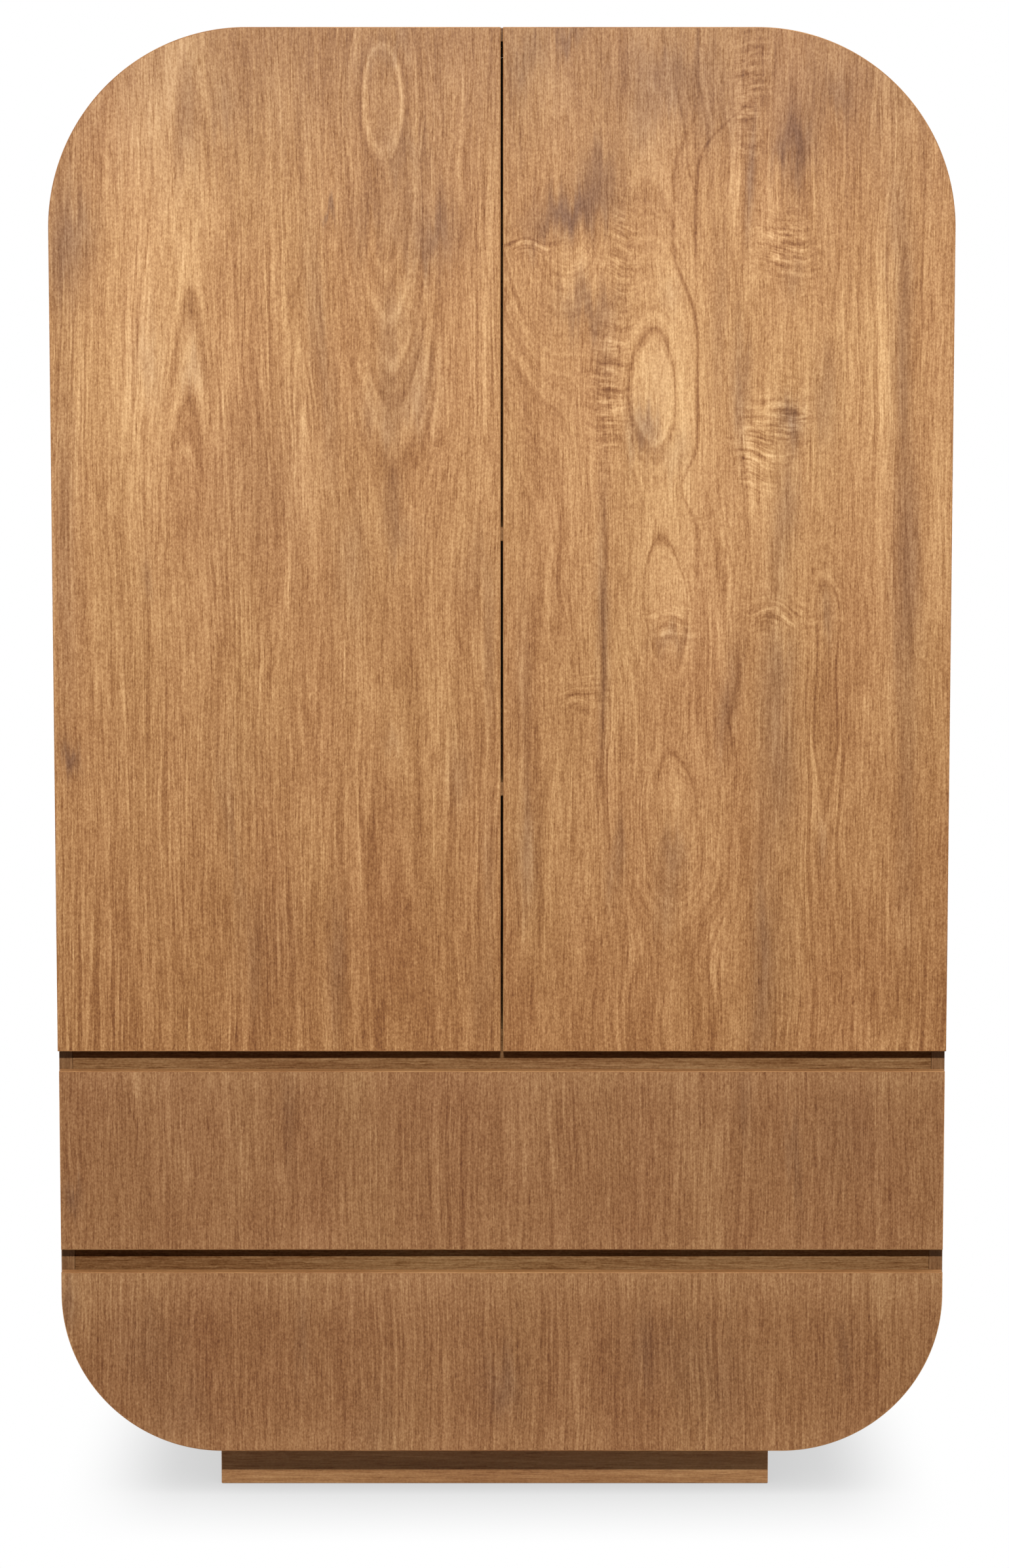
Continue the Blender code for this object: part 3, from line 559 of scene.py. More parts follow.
LEFT_DOOR_ACCENTS = [
    (44.5, 3, -157, 1870, 60, 110, 18), (50.5, 2.2, -156, 1850, 60, 110, -14),
    (57, 1.8, -150, 1740, 50, 60, -11), (61, 1.8, -150, 1720, 50, 60, -11),
    (67.3, 1.3, -146, 1640, 50, 110, 6), (73, 2.2, -146, 1560, 60, 120, -9),
    (87.3, 1.3, -141, 1480, 50, 110, 5), (92, 2.2, -140, 1420, 60, 120, -9),
    (56.6, 1.8, -415, 1850, 50, 100, -7), (52.2, 1.8, -415, 1780, 50, 90, 11),
    (45.3, 1.8, -415, 1620, 50, 100, 16), (42.5, 2, -415, 1600, 50, 90, -12),
    (37.8, 1.8, -415, 1500, 50, 90, 9), (35, 2, -415, 1470, 50, 90, -6),
]
RIGHT_DOOR_ACCENTS = [
    (30, 1.6, 200, 1530, 60, 110, -24), (37.5, 3, 200, 1545, 60, 80, 8),
    (30, 1.6, 217, 1270, 60, 80, -24), (30, 1.6, 230, 990, 60, 70, -20), (105, 2, 84, 1580, 70, 60, -19),
    (111, 1.6, 84, 1560, 70, 60, 6), (116, 2, 84, 1520, 70, 60, -19),
    (25.5, 1.8, 434, 1110, 40, 150, -20), (30, 1.6, 434, 1140, 40, 160, 7),
    (38, 1.8, 434, 1300, 50, 70, -8),
]
RIGHT_DOOR_JOINTS = [(166, 3), (316, -3), (351, 2), (521, -5)]
RIGHT_DOOR_RIPPLES = [
    (142, 1500, 26, 95, 170), (30, 1695, 50, 14, 160), (158, 1690, 18, 80, 130), (372, 1695, 38, 45, 180),
    (328, 1890, 22, 85, 150), (385, 1465, 30, 40, 180), (338, 1420, 26, 60, 180),
    (370, 1205, 45, 22, 150), (225, 1190, 30, 30, 130), (110, 1100, 40, 30, 110),
]
LEFT_DOOR_STRANDS = [
    (-372, 1.8, 1310, 340, 13, [(1160, 18, 220)]),
    (-212, 1.6, 1250, 200, 12, [(1290, 17, 90)]),
]
RIGHT_DOOR_STRANDS = [
    (260, 2.6, 1530, 270, -28, [(1690, -32, 62), (1790, -30, 60), (1375, -22, 35)]),
    (257, 2.4, 1770, 130, -26, [(1900, 75, 55)]),
    (135, 2.6, 1200, 180, -22, [(1300, 4, 60)]),
    (310, 3.0, 1070, 110, -18, [(1130, 6, 18), (1060, -6, 18), (1000, 5, 18)]),
]
DOOR_SHADING = [(1360, 1000, -5), (1020, 660, -7)]
UPPER_DRAWER_SHADING = [(535, 585, 6), (380, 341, 2)]
LOWER_DRAWER_SHADING = [(230, 310, 10), (130, 62, 6)]


def metal(name, colour, roughness, brushed=0.0):
    """Plated steel, a little uneven, and brushed along its length where it is rolled."""
    graph = Graph(name)
    x, y, z = graph.place("ShaderNodeTexCoord", "Object")
    smear = graph.noise(x * 90, y * 90, z * 90, detail=3.0)
    drawn = graph.noise(x * 2600, y * 40, z * 2600)
    darker = tuple(channel * 0.82 for channel in colour)
    shade = graph.ramp(graph.fused(smear, 1.0, 0.5) + drawn * brushed, [darker, colour])
    rough = graph.fused(smear, 0.25, roughness) + drawn * brushed * 0.3
    graph.look(Base_Color=shade, Roughness=rough, Metallic=1.0)
    graph.bump(drawn * brushed + smear * 0.2, METAL_RELIEF)
    return graph.block


def moulded(name, colour, roughness):
    """Moulded plastic or rubber with a fine grain."""
    graph = Graph(name)
    x, y, z = graph.place("ShaderNodeTexCoord", "Object")
    grain = graph.noise(x * 2200, y * 2200, z * 2200)
    darker = tuple(channel * 0.85 for channel in colour)
    shade = graph.ramp(graph.fused(grain, 1.2, 0.5), [darker, colour])
    graph.look(Base_Color=shade, Roughness=graph.fused(grain, 0.25, roughness))
    graph.bump(grain, MOULDED_RELIEF)
    return graph.block


MATERIALS = {
    "left_door": figured_wood(
        "left_door_veneer", left_door_rings, LEFT_DOOR_PATCHES, 0.507, DOOR_SHADING, LEFT_DOOR_ACCENTS,
        strands=LEFT_DOOR_STRANDS, seed=2.0, boldness=0.90,
    ),
    "right_door": figured_wood(
        "right_door_veneer", right_door_rings, RIGHT_DOOR_PATCHES, 0.514, DOOR_SHADING, RIGHT_DOOR_ACCENTS,
        RIGHT_DOOR_JOINTS, RIGHT_DOOR_RIPPLES, RIGHT_DOOR_STRANDS, seed=15.0, warp=1.8, boldness=0.75,
    ),
    "upper_drawer": figured_wood(
        "upper_drawer_veneer", straight_rings, UPPER_DRAWER_PATCHES, 0.43, UPPER_DRAWER_SHADING, seed=31.0,
        boldness=0.58, shade=0.73, hue=0.4965,
    ),
    "lower_drawer": figured_wood(
        "lower_drawer_veneer", straight_rings, LOWER_DRAWER_PATCHES, 0.40, LOWER_DRAWER_SHADING, seed=47.0,
        boldness=0.62, shade=0.71, hue=0.4965,
    ),
    "shell": board_wood("shell_veneer", BROWN_WOOD, 0.44, 1.0, painted_edge_shade=0.46),
    # The rails sit recessed in the grooves: their low shade is painted shade, and the upper and lower rails
    # are lit and shaded copies of one wood.
    "upper_rail": board_wood("upper_rail_veneer", BROWN_WOOD, 0.56, 1.2, 0.70, 0.46, gloss=0.09, wave=0.012),
    "lower_rail": board_wood("lower_rail_veneer", BROWN_WOOD, 0.52, 1.2, 0.70, 0.43, gloss=0.05, wave=0.012),
    "plinth": board_wood("plinth_veneer", BROWN_WOOD, 0.50, 0.8, shade=0.70),
    "edge": board_wood("edge_veneer", BROWN_WOOD, 0.43, 0.8),
    "inside": board_wood("inside_veneer", BROWN_WOOD, 0.50, 0.8, 0.60),
    "birch": board_wood("drawer_birch", PALE_WOOD, 0.55, 0.6, 0.60),
    "steel": metal("hinge_steel", (0.72, 0.71, 0.69), 0.28),
    "zinc": metal("slide_steel", (0.66, 0.67, 0.68), 0.34, 0.35),
    "dark": moulded("dark_plastic", (0.030, 0.030, 0.032), 0.50),
    "rubber": moulded("clear_bumper", (0.62, 0.60, 0.55), 0.45),
}


def new_work():
    """An empty bmesh whose points carry the grain coordinates (across, along, through)."""
    work = bmesh.new()
    work.verts.layers.float_vector.new("grain")
    return work


def add_loft(work, rings, closed=False, grains=None):
    """Faces through rings of equally many points. Both ends are capped, or joined where it is closed."""
    layer = work.verts.layers.float_vector["grain"]
    loops = []
    for index, ring in enumerate(rings):
        loop = [work.verts.new(point) for point in ring]
        if grains is not None:
            for point, grain in zip(loop, grains[index]):
                point[layer] = grain
        loops.append(loop)
    count = len(loops[0])
    faces = []
    pairs = list(zip(loops, loops[1:]))
    if closed:
        pairs.append((loops[-1], loops[0]))
    else:
        faces += [work.faces.new(loops[0]), work.faces.new(loops[-1])]
    for near, far in pairs:
        for here in range(count):
            after = (here + 1) % count
            faces.append(work.faces.new((near[here], near[after], far[after], far[here])))
    bmesh.ops.recalc_face_normals(work, faces=faces)


def add_bar(work, outline, low_y, high_y):
    """A straight bar with one outline in X and Z."""
    add_loft(work, [[(x, y, z) for x, z in outline] for y in (low_y, high_y)])


def add_board(work, low, high, ease):
    """A board between two corners, with eased edges."""
    corners = [(x, y, z) for x in (low[0], high[0]) for y in (low[1], high[1]) for z in (low[2], high[2])]
    points = [work.verts.new(corner) for corner in corners]
    sides = [(0, 1, 3, 2), (4, 5, 7, 6), (0, 1, 5, 4), (2, 3, 7, 6), (0, 2, 6, 4), (1, 3, 7, 5)]
    faces = [work.faces.new([points[index] for index in side]) for side in sides]
    bmesh.ops.recalc_face_normals(work, faces=faces)
    edges = list({edge for face in faces for edge in face.edges})
    bmesh.ops.bevel(work, geom=edges, offset=ease, segments=3, profile=0.5, affect="EDGES")


def rectangle(low_x, high_x, low_z, high_z):
    """Four corners, from the lower left one anticlockwise."""
    return [(low_x, low_z), (high_x, low_z), (high_x, high_z), (low_x, high_z)]


def rounded(corners, radii, steps):
    """A closed outline with each corner turned into an arc of its own radius and number of steps."""
    outline = []
    count = len(corners)
    for index, corner in enumerate(corners):
        here = Vector(corner)
        back = (Vector(corners[index - 1]) - here).normalized()
        ahead = (Vector(corners[(index + 1) % count]) - here).normalized()
        radius = radii[index]
        if radius <= 0:
            outline.append(here)
            continue
        half = back.angle(ahead) / 2
        middle = here + (back + ahead).normalized() * radius / math.sin(half)
        start = here + back * radius / math.tan(half) - middle
        end = here + ahead * radius / math.tan(half) - middle
        turn = start.angle(end)
        for step in range(steps[index] + 1):
            share = step / steps[index]
            spoke = start * math.sin((1 - share) * turn) + end * math.sin(share * turn)
            outline.append(middle + spoke / math.sin(turn))
    return outline


def ring_maker(origin, axis_out, sides):
    """What makes a ring of points round an axis from its radius at each turn and its distance out."""
    out = Vector(axis_out).normalized()
    side = out.orthogonal().normalized()
    up = out.cross(side)
    turns = [math.tau * step / sides for step in range(sides)]

    def ring(radius_at, reach):
        middle = Vector(origin) + out * reach
        return [middle + (side * math.cos(turn) + up * math.sin(turn)) * radius_at(turn) for turn in turns]

    return ring


def add_turned(work, origin, axis_out, profile, sides=TURNED_SIDES):
    """A turned shape: (radius, distance out) pairs swept round an axis."""
    ring = ring_maker(origin, axis_out, sides)
    add_loft(work, [ring(lambda turn: radius, reach) for radius, reach in profile])


def add_screw(work, origin, axis_out, size):
    """A screw's head with a cross recess, seated on the point it is given."""
    radius, rise = size
    ring = ring_maker(origin, axis_out, TURNED_SIDES)

    def cross(turn):
        """Distance to the edge of the recess, in one direction round the head."""
        near, far = sorted((abs(math.sin(turn)), abs(math.cos(turn))))
        return min(radius * 0.62 / far, radius * 0.17 / max(near, 0.05))

    domed = [(1.0, 0.0), (1.0, 0.35), (0.93, 0.80), (0.80, 1.0)]
    rings = [ring(lambda turn: radius * share, rise * height) for share, height in domed]
    add_loft(work, rings + [ring(cross, rise), ring(cross, rise * 0.25)])


def mesh_of(work, name):
    """The bmesh as a mesh. It frees the bmesh."""
    mesh = bpy.data.meshes.new(name)
    work.to_mesh(mesh)
    work.free()
    return mesh


def shown(name, data):
    """A new object in the scene, made of the data."""
    made = bpy.data.objects.new(name, data)
    bpy.context.collection.objects.link(made)
    return made


def make_piece(
    name, work, material, body, stands_for=(), grain=None, shift=(0, 0, 0), crease=WOOD_CREASE,
):
    """One piece of the object from a bmesh. grain names the axes across, along and through, such as "xzy".

    A piece that bends between two bodies has None for its body here.
    """
    mesh = mesh_of(work, name)
    if grain is not None:
        axes = ["xyz".index(letter) for letter in grain]
        layer = mesh.attributes["grain"]
        for index, point in enumerate(mesh.vertices):
            layer.data[index].vector = [point.co[axis] + move for axis, move in zip(axes, shift)]
    mesh.materials.append(MATERIALS[material])
    mesh.shade_smooth()
    mesh.set_sharp_from_angle(angle=math.radians(crease))
    piece = shown(name, mesh)
    if body is not None:
        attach(piece, body)
    if stands_for:
        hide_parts(*stands_for)
    return piece


def make_metal(name, work, body, stands_for=(), material="steel"):
    """A piece of hardware, with shading that breaks only at its sharper edges."""
    return make_piece(name, work, material, body, stands_for, crease=METAL_CREASE)


def bored(work, bores):
    """The bmesh with round holes cut in it. Each bore is (origin, axis out, radius, depth)."""
    cutters = new_work()
    for origin, axis_out, radius, depth in bores:
        add_turned(cutters, origin, axis_out, [(radius, -depth), (radius, BORE_OVERRUN)], BORE_SIDES)
    blank = shown("blank", mesh_of(work, "blank"))
    cutter = shown("cutter", mesh_of(cutters, "cutter"))
    cut = blank.modifiers.new("cut", "BOOLEAN")
    cut.operation = "DIFFERENCE"
    cut.object = cutter
    graph = bpy.context.evaluated_depsgraph_get()
    result = bpy.data.meshes.new_from_object(blank.evaluated_get(graph))
    for made in (blank, cutter):
        bpy.data.objects.remove(made)
    done = bmesh.new()
    done.from_mesh(result)
    bpy.data.meshes.remove(result)
    return done


def front_outline(low, high, radii, inset):
    """A box's outline in X and Z, inset all round, with its corners rounded."""
    corners = rectangle(low.x + inset, high.x - inset, low.z + inset, high.z - inset)
    smaller = [max(radius - inset, SEAM) for radius in radii]
    steps = [ARC_STEPS if radius > SMALL_CORNER else CORNER_STEPS for radius in radii]
    return rounded(corners, smaller, steps)


def build_front(node, body, radii, bores=()):
    """A slab front: the veneered panel and the band round its edge."""
    low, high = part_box(node)

    def ring(inset, y):
        return [(x, y, z) for x, z in front_outline(low, high, radii, inset)]

    work = new_work()
    add_loft(work, [
        ring(EDGE_BAND + SEAM, low.y), ring(EDGE_BAND, low.y + SEAM),
        ring(EDGE_BAND, high.y - SEAM), ring(EDGE_BAND + SEAM, high.y),
    ])
    if bores:
        work = bored(work, bores)
    make_piece(f"{node}_panel", work, body, body, (node,), "xzy")

    profile = [(EDGE_BAND, low.y)]
    for step in range(ARRIS_STEPS + 1):
        turn = math.pi / 2 * step / ARRIS_STEPS
        profile.append((ARRIS * (1 - math.sin(turn)), low.y + ARRIS * (1 - math.cos(turn))))
    profile += [(inset, low.y + high.y - y) for inset, y in reversed(profile)]
    outline = front_outline(low, high, radii, 0.0)
    distances = [0.0]
    for before, after in zip(outline, outline[1:]):
        distances.append(distances[-1] + (Vector(after) - Vector(before)).length)
    work = new_work()
    grains = [[(y + inset, 3.0 + run, inset) for run in distances] for inset, y in profile]
    add_loft(work, [ring(inset, y) for inset, y in profile], closed=True, grains=grains)
    make_piece(f"{node}_edge_band", work, "edge", body)


def cup_bores(side_name):
    """Where the hinge cups are let into a door's back."""
    for level in LEVELS:
        low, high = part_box(f"{side_name}_hinge_cup_{level}")
        middle = (low + high) / 2
        radius = (high.x - low.x) / 2 - CUP_CLEARANCE
        yield (middle.x, front_back_y, middle.z), (0, 1, 0), radius, front_back_y - low.y + SEAM


def build_fronts():
    """The doors and drawer fronts. Their corner radii go from the lower left one anticlockwise."""
    small = SMALL_CORNER
    low_radius = bottom_radius - (half_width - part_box("lower_drawer_front")[1].x)
    for side_name, radii in (("left", (small, top_radius)), ("right", (top_radius, small))):
        door = f"{side_name}_door"
        build_front(door, door, (small, small, *radii), [*cup_bores(side_name)])
    for name, radius in (("upper_drawer", small), ("lower_drawer", low_radius)):
        build_front(f"{name}_front", name, (radius, radius, small, small))


def build_shell():
    """The shell's eight parts. Its veneer runs round the outline, so its grain follows the arcs."""
    # The wall's section as (depth in from the outside, y), with rounded outer edges
    corners = [
        (shell_board, carcass_front_y), (0.0, carcass_front_y), (0.0, carcass_back_y),
        (shell_board, carcass_back_y),
    ]
    section = rounded(corners, (SMALL_ARRIS, ARRIS, ARRIS, SMALL_ARRIS), (2, 3, 3, 2))
    top_centre = shell_top - top_radius
    bottom_centre = shell_bottom + bottom_radius
    top_run = top_centre + top_radius * math.pi / 2 + half_width - top_radius
    bottom_run = bottom_centre - bottom_radius * math.pi / 2 - (half_width - bottom_radius)

    def add_run(name, stations, bores=()):
        """One part through stations of (x, z, direction inward, distance along the veneer)."""
        rings = []
        grains = []
        for x, z, inward, run in stations:
            rings.append([(x + inward[0] * depth, y, z + inward[1] * depth) for depth, y in section])
            grains.append([(y, run, depth) for depth, y in section])
        work = new_work()
        add_loft(work, rings, grains=grains)
        if bores:
            work = bored(work, bores)
        make_piece(f"{name}_veneered", work, "shell", "cabinet", (name,))

    def arc(side, up, radius, centre_z, start_run, run_sign):
        """Stations round one corner, from the side panel's end."""
        for step in range(ARC_STEPS + 1):
            turn = math.pi / 2 * step / ARC_STEPS
            out = (side * math.cos(turn), up * math.sin(turn))
            x = side * (half_width - radius) + radius * out[0]
            yield x, centre_z + radius * out[1], (-out[0], -out[1]), start_run + run_sign * radius * turn

    for side_name, side in SIDES:
        # The right side continues the veneer that came up the left one and crossed the top
        start = 0.0 if side < 0 else 2 * top_run
        low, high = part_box(f"{side_name}_side_panel")
        stations = [(side * half_width, z, (-side, 0), start - side * z) for z in (low.z, high.z)]
        add_run(f"{side_name}_side_panel", stations, [*pin_bores(side_name, side)])
        top_arc = arc(side, 1, top_radius, top_centre, start - side * top_centre, -side)
        add_run(f"top_{side_name}_corner", top_arc)
        bottom_arc = arc(side, -1, bottom_radius, bottom_centre, start - side * bottom_centre, side)
        add_run(f"bottom_{side_name}_corner", bottom_arc)
    low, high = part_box("top_panel")
    add_run("top_panel", [(x, shell_top, (0, -1), top_run + x) for x in (low.x, high.x)])
    low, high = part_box("bottom_panel")
    add_run("bottom_panel", [(x, shell_bottom, (0, 1), bottom_run - x) for x in (low.x, high.x)])


def shelf_pins(side_name):
    """The nodes of one side's shelf pins."""
    rows = [("lower", "front"), ("lower", "back"), ("upper", "front"), ("upper", "back")]
    return [f"{shelf}_shelf_pin_{side_name}_{row}" for shelf, row in rows]


def pin_bores(side_name, side):
    """The rows of drilled holes that the shelf pins go in."""
    inner_x = side * (half_width - shell_board)
    for node in shelf_pins(side_name):
        low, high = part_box(node)
        middle = (low + high) / 2
        for step in range(-2, 3):
            yield (inner_x, middle.y, middle.z + step * PIN_HOLE_SPACING), (-side, 0, 0), *PIN_HOLE


def build_pin(node, side):
    """A turned shelf pin with a collar against the side panel."""
    low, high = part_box(node)
    middle = (low + high) / 2
    length = high.x - low.x
    collar = (high.z - low.z) / 2
    shank = collar - 0.002
    work = new_work()
    add_turned(work, (high.x if side > 0 else low.x, middle.y, middle.z), (-side, 0, 0), [
        (shank * 0.80, 0.0), (shank, 0.0005), (shank, 0.0092), (collar * 0.94, 0.0093),
        (collar, 0.0097), (collar, 0.0101), (collar * 0.94, 0.0105), (shank, 0.0106),
        (shank, length - 0.0008), (shank * 0.90, length - 0.0003), (shank * 0.70, length),
    ])
    make_metal(f"{node}_turned", work, "cabinet", (node,))


def build_board(node, material, body, grain, shift, ease):
    """A plain board in its node's place."""
    work = new_work()
    add_board(work, *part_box(node), ease)
    make_piece(f"{node}_board", work, material, body, (node,), grain, shift)


def build_boards():
    """The boards inside and the plinth, each with its own stretch of grain."""
    boards = [
        ("upper_rail", "upper_rail", "zxy"), ("lower_rail", "lower_rail", "zxy"),
        ("plinth_front", "plinth", "zxy"), ("plinth_back", "plinth", "zxy"),
        ("plinth_left", "plinth", "zyx"), ("plinth_right", "plinth", "zyx"),
        ("deck_panel", "inside", "yxz"), ("lower_shelf", "inside", "yxz"), ("upper_shelf", "inside", "yxz"),
        ("left_runner_panel", "inside", "zyx"), ("right_runner_panel", "inside", "zyx"),
    ]
    for index, (node, material, grain) in enumerate(boards):
        ease = PLINTH_EASE if material == "plinth" else BOARD_EASE
        shift = (0.37 * index, 1.3 * index, 0.11 * index)
        build_board(node, material, "cabinet", grain, shift, ease)


def build_back_panel():
    """The back panel and the screws round its edge."""
    low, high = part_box("back_panel")
    reach = half_width - high.x
    radii = (bottom_radius - reach, bottom_radius - reach, top_radius - reach, top_radius - reach)
    work = new_work()
    add_bar(work, front_outline(low, high, radii, 0.0), low.y, high.y)
    stands_for = ("back_panel",)
    make_piece("back_panel_board", work, "inside", "cabinet", stands_for, "xzy", (5, 7, 0))

    work = new_work()
    edge = front_outline(low, high, radii, BACK_SCREW_INSET)
    run = 0.0
    for before, after in zip(edge, edge[1:] + edge[:1]):
        length = (after - before).length
        while run < length:
            place = before + (after - before) * (run / length)
            add_screw(work, (place.x, high.y, place.y), (0, 1, 0), BACK_SCREW)
            run += BACK_SCREW_SPACING
        run -= length
    make_metal("back_panel_screws", work, "cabinet", material="zinc")


def build_cup(node, body):
    """A hinge's cup, let into the door, with a wing above and below it for its screws."""
    low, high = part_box(node)
    middle = (low + high) / 2
    radius = (high.x - low.x) / 2
    cup_radius = radius - CUP_LIP
    depth = front_back_y - low.y
    face = high.y - front_back_y
    work = new_work()
    add_turned(work, (middle.x, front_back_y, middle.z), (0, 1, 0), [
        (cup_radius - 0.0015, -depth), (cup_radius, -depth + 0.0015), (cup_radius, face - 0.0009),
        (radius, face - 0.0008), (radius, face - 0.0003), (radius - 0.0006, face),
        (cup_radius - 0.0010, face), (cup_radius - 0.0016, face - 0.0006),
        (cup_radius - 0.0016, -depth + 0.0030), (cup_radius - 0.0032, -depth + 0.0011),
    ], 64)
    half_length = (high.z - low.z) / 2
    corners = rectangle(-WING_HALF_WIDTH, WING_HALF_WIDTH, -half_length, half_length)
    wing = rounded(corners, (WING_CORNER,) * 4, (8,) * 4)
    start = cup_radius - 0.004
    for up in (-1, 1):
        part = [(x, z) for x, z in wing if z * up > start]
        part = [(part[0][0], up * start)] + part + [(part[-1][0], up * start)]
        outline = [(middle.x + x, middle.z + z) for x, z in part]
        add_bar(work, outline, front_back_y + SEAT, front_back_y + face)
        place = (middle.x, front_back_y + face, middle.z + up * CUP_SCREW_UP)
        add_screw(work, place, (0, 1, 0), CUP_SCREW)
    make_metal(f"{node}_pressed", work, body, (node,))


def build_arm(node, side):
    """A pressed arm over its mounting plate, with its adjusting screws and the pivots in its nose."""
    low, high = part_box(node)
    middle_z = (low.z + high.z) / 2
    wall = side * (half_width - shell_board - SEAT)
    work = new_work()

    def add_slab(outline, half_height):
        """A flat shape seen from above, as (distance in from the wall, y)."""
        heights = (middle_z - half_height, middle_z + half_height)
        add_loft(work, [[(wall - side * x, y, z) for x, y in outline] for z in heights])

    plate_y = carcass_front_y + PLATE_BACK
    plate = [
        (0, plate_y), (PLATE_THICKNESS, plate_y),
        (PLATE_THICKNESS, plate_y + PLATE_WIDTH), (0, plate_y + PLATE_WIDTH),
    ]
    add_slab(rounded(plate, (0, 0.0008, 0.0008, 0), (1, 3, 3, 1)), PLATE_HALF_HEIGHT)
    for up in (-1, 1):
        place = (wall - side * PLATE_THICKNESS, plate_y + PLATE_WIDTH / 2, middle_z + up * PLATE_SCREW_UP)
        add_screw(work, place, (-side, 0, 0), PLATE_SCREW)

    tip_y = low.y
    shoulder_y = carcass_front_y + SHOULDER_BACK
    tail_y = high.y
    outer = [
        (NOSE_NEAR, tip_y + 0.003), (NOSE_NEAR + 0.003, tip_y), (NOSE_FAR - 0.002, tip_y),
        (NOSE_FAR, tip_y + 0.003), (NOSE_FAR, shoulder_y), (0.0088, plate_y), (0.0068, tail_y),
        (0.0022, tail_y), (0.0022, plate_y - 0.004), (0.0058, plate_y - 0.012), (NOSE_NEAR, shoulder_y),
    ]
    radii = (0.001, 0.001, 0.0015, 0.0015, 0.004, 0.008, 0.001, 0.0005, 0.002, 0.004, 0.002)
    add_slab(rounded(outer, radii, (3,) * len(outer)), ARM_HALF_HEIGHT)
    add_slab([
        (NOSE_FAR - 0.0005, shoulder_y + 0.001), (0.0092, plate_y + 0.001), (0.0072, tail_y - 0.001),
        (0.0064, tail_y - 0.001), (0.0080, plate_y + 0.001), (NOSE_FAR - 0.0015, shoulder_y + 0.001),
    ], CROWN_HALF_HEIGHT)
    for run in (0.36, 0.78):
        y = plate_y + (tail_y - plate_y) * run
        depth = 0.0088 + (0.0068 - 0.0088) * run
        add_screw(work, (wall - side * (depth - 0.0002), y, middle_z), (-side, 0, 0), ARM_SCREW)
    for depth, y in ((0.0062, tip_y + 0.0042), (0.0118, tip_y + 0.0040), (0.0115, shoulder_y + 0.001)):
        for up in (-1, 1):
            place = (wall - side * depth, y, middle_z + up * ARM_HALF_HEIGHT)
            add_turned(work, place, (0, 0, up), [(0.0015, 0.0), (0.0015, 0.0003), (0.0011, 0.0005)], 16)
    make_metal(f"{node}_pressed", work, "cabinet", (node,))


def build_links(name, cup, side):
    """The two links from a cup to its arm, lying folded in the cup, and tied to no body."""
    cup_low, cup_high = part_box(cup)
    middle = (cup_low + cup_high) / 2
    x_range = sorted(middle.x - side * across for across in LINK_ACROSS)
    start_y = front_back_y - 0.0015
    end_y = cup_low.y + 0.0025
    stations = [start_y + (end_y - start_y) * step / LINK_STEPS for step in range(LINK_STEPS + 1)]
    work = new_work()
    for up in (-1, 1):
        z_range = sorted(middle.z + up * height for height in LINK_UP)
        section = rounded(rectangle(*x_range, *z_range), (LINK_CORNER,) * 4, (3,) * 4)
        add_loft(work, [[(x, y, z) for x, z in section] for y in stations])
    link = make_metal(name, work, None)
    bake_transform(link)


def build_bumpers(side_name, side):
    """Small clear domes that a door closes on, at its corners by the gap."""
    work = new_work()
    for z in (shell_top - shell_board / 2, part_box("upper_rail")[1].z - BUMPER_DROP):
        add_turned(work, (side * BUMPER_ACROSS, front_back_y, z), (0, 1, 0), [
            (0.0040, 0.0), (0.0040, 0.0006), (0.0036, 0.0011), (0.0026, 0.0014), (0.0012, 0.0016),
        ])
    make_metal(f"{side_name}_door_bumpers", work, f"{side_name}_door", (), "rubber")


def channel_profile(low, high, open_side):
    """A rolled channel's section in X and Z, open to one side, with its corners rounded."""
    web_x, lip_x = (low.x, high.x) if open_side > 0 else (high.x, low.x)
    inner_x = web_x + open_side * SHEET_METAL
    corners = [
        (web_x, low.z), (lip_x, low.z), (lip_x, low.z + SHEET_METAL), (inner_x, low.z + SHEET_METAL),
        (inner_x, high.z - SHEET_METAL), (lip_x, high.z - SHEET_METAL), (lip_x, high.z), (web_x, high.z),
    ]
    half = [CHANNEL_CORNER, SHEET_METAL * 0.3, SHEET_METAL * 0.3, CHANNEL_CORNER - SHEET_METAL * 0.6]
    return rounded(corners, half + half[::-1], (5, 2, 2, 4, 4, 2, 2, 5))


def build_slide(name, side_name, side):
    """A drawer's slide: channel on the cabinet, rail on the box, and the balls' cage between them."""
    channel = f"{name}_slide_channel_{side_name}"
    rail = f"{name}_slide_rail_{side_name}"
    for node, body, open_side in ((channel, "cabinet", -side), (rail, name, side)):
        low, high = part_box(node)
        work = new_work()
        add_bar(work, channel_profile(low, high, open_side), low.y, high.y)
        middle_z = (low.z + high.z) / 2
        web_x = (low.x if open_side > 0 else high.x) + open_side * SHEET_METAL
        for share in SLIDE_SCREW_SHARES:
            place = (web_x, low.y + (high.y - low.y) * share, middle_z)
            add_screw(work, place, (open_side, 0, 0), SLIDE_SCREW)
        make_metal(f"{node}_rolled", work, body, (node,), "zinc")

    low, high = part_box(channel)
    web_x = high.x if side > 0 else low.x
    work = new_work()
    strips = [(low.z + SHEET_METAL, low.z + SHEET_METAL + CAGE_THICKNESS)]
    strips.append((high.z - SHEET_METAL - CAGE_THICKNESS, high.z - SHEET_METAL))
    depths = sorted(web_x - side * depth for depth in CAGE_ACROSS)
    for z_range in strips:
        ends = zip(depths, (low.y + along for along in CAGE_ALONG), z_range)
        add_board(work, *ends, CAGE_EASE)
    depths = sorted(web_x - side * depth for depth in STOP_ACROSS)
    ends = zip(depths, (low.y + along for along in STOP_ALONG), (low.z + STOP_INSET, high.z - STOP_INSET))
    add_board(work, *ends, STOP_EASE)
    make_metal(f"{name}_slide_cage_{side_name}", work, "cabinet", (), "dark")


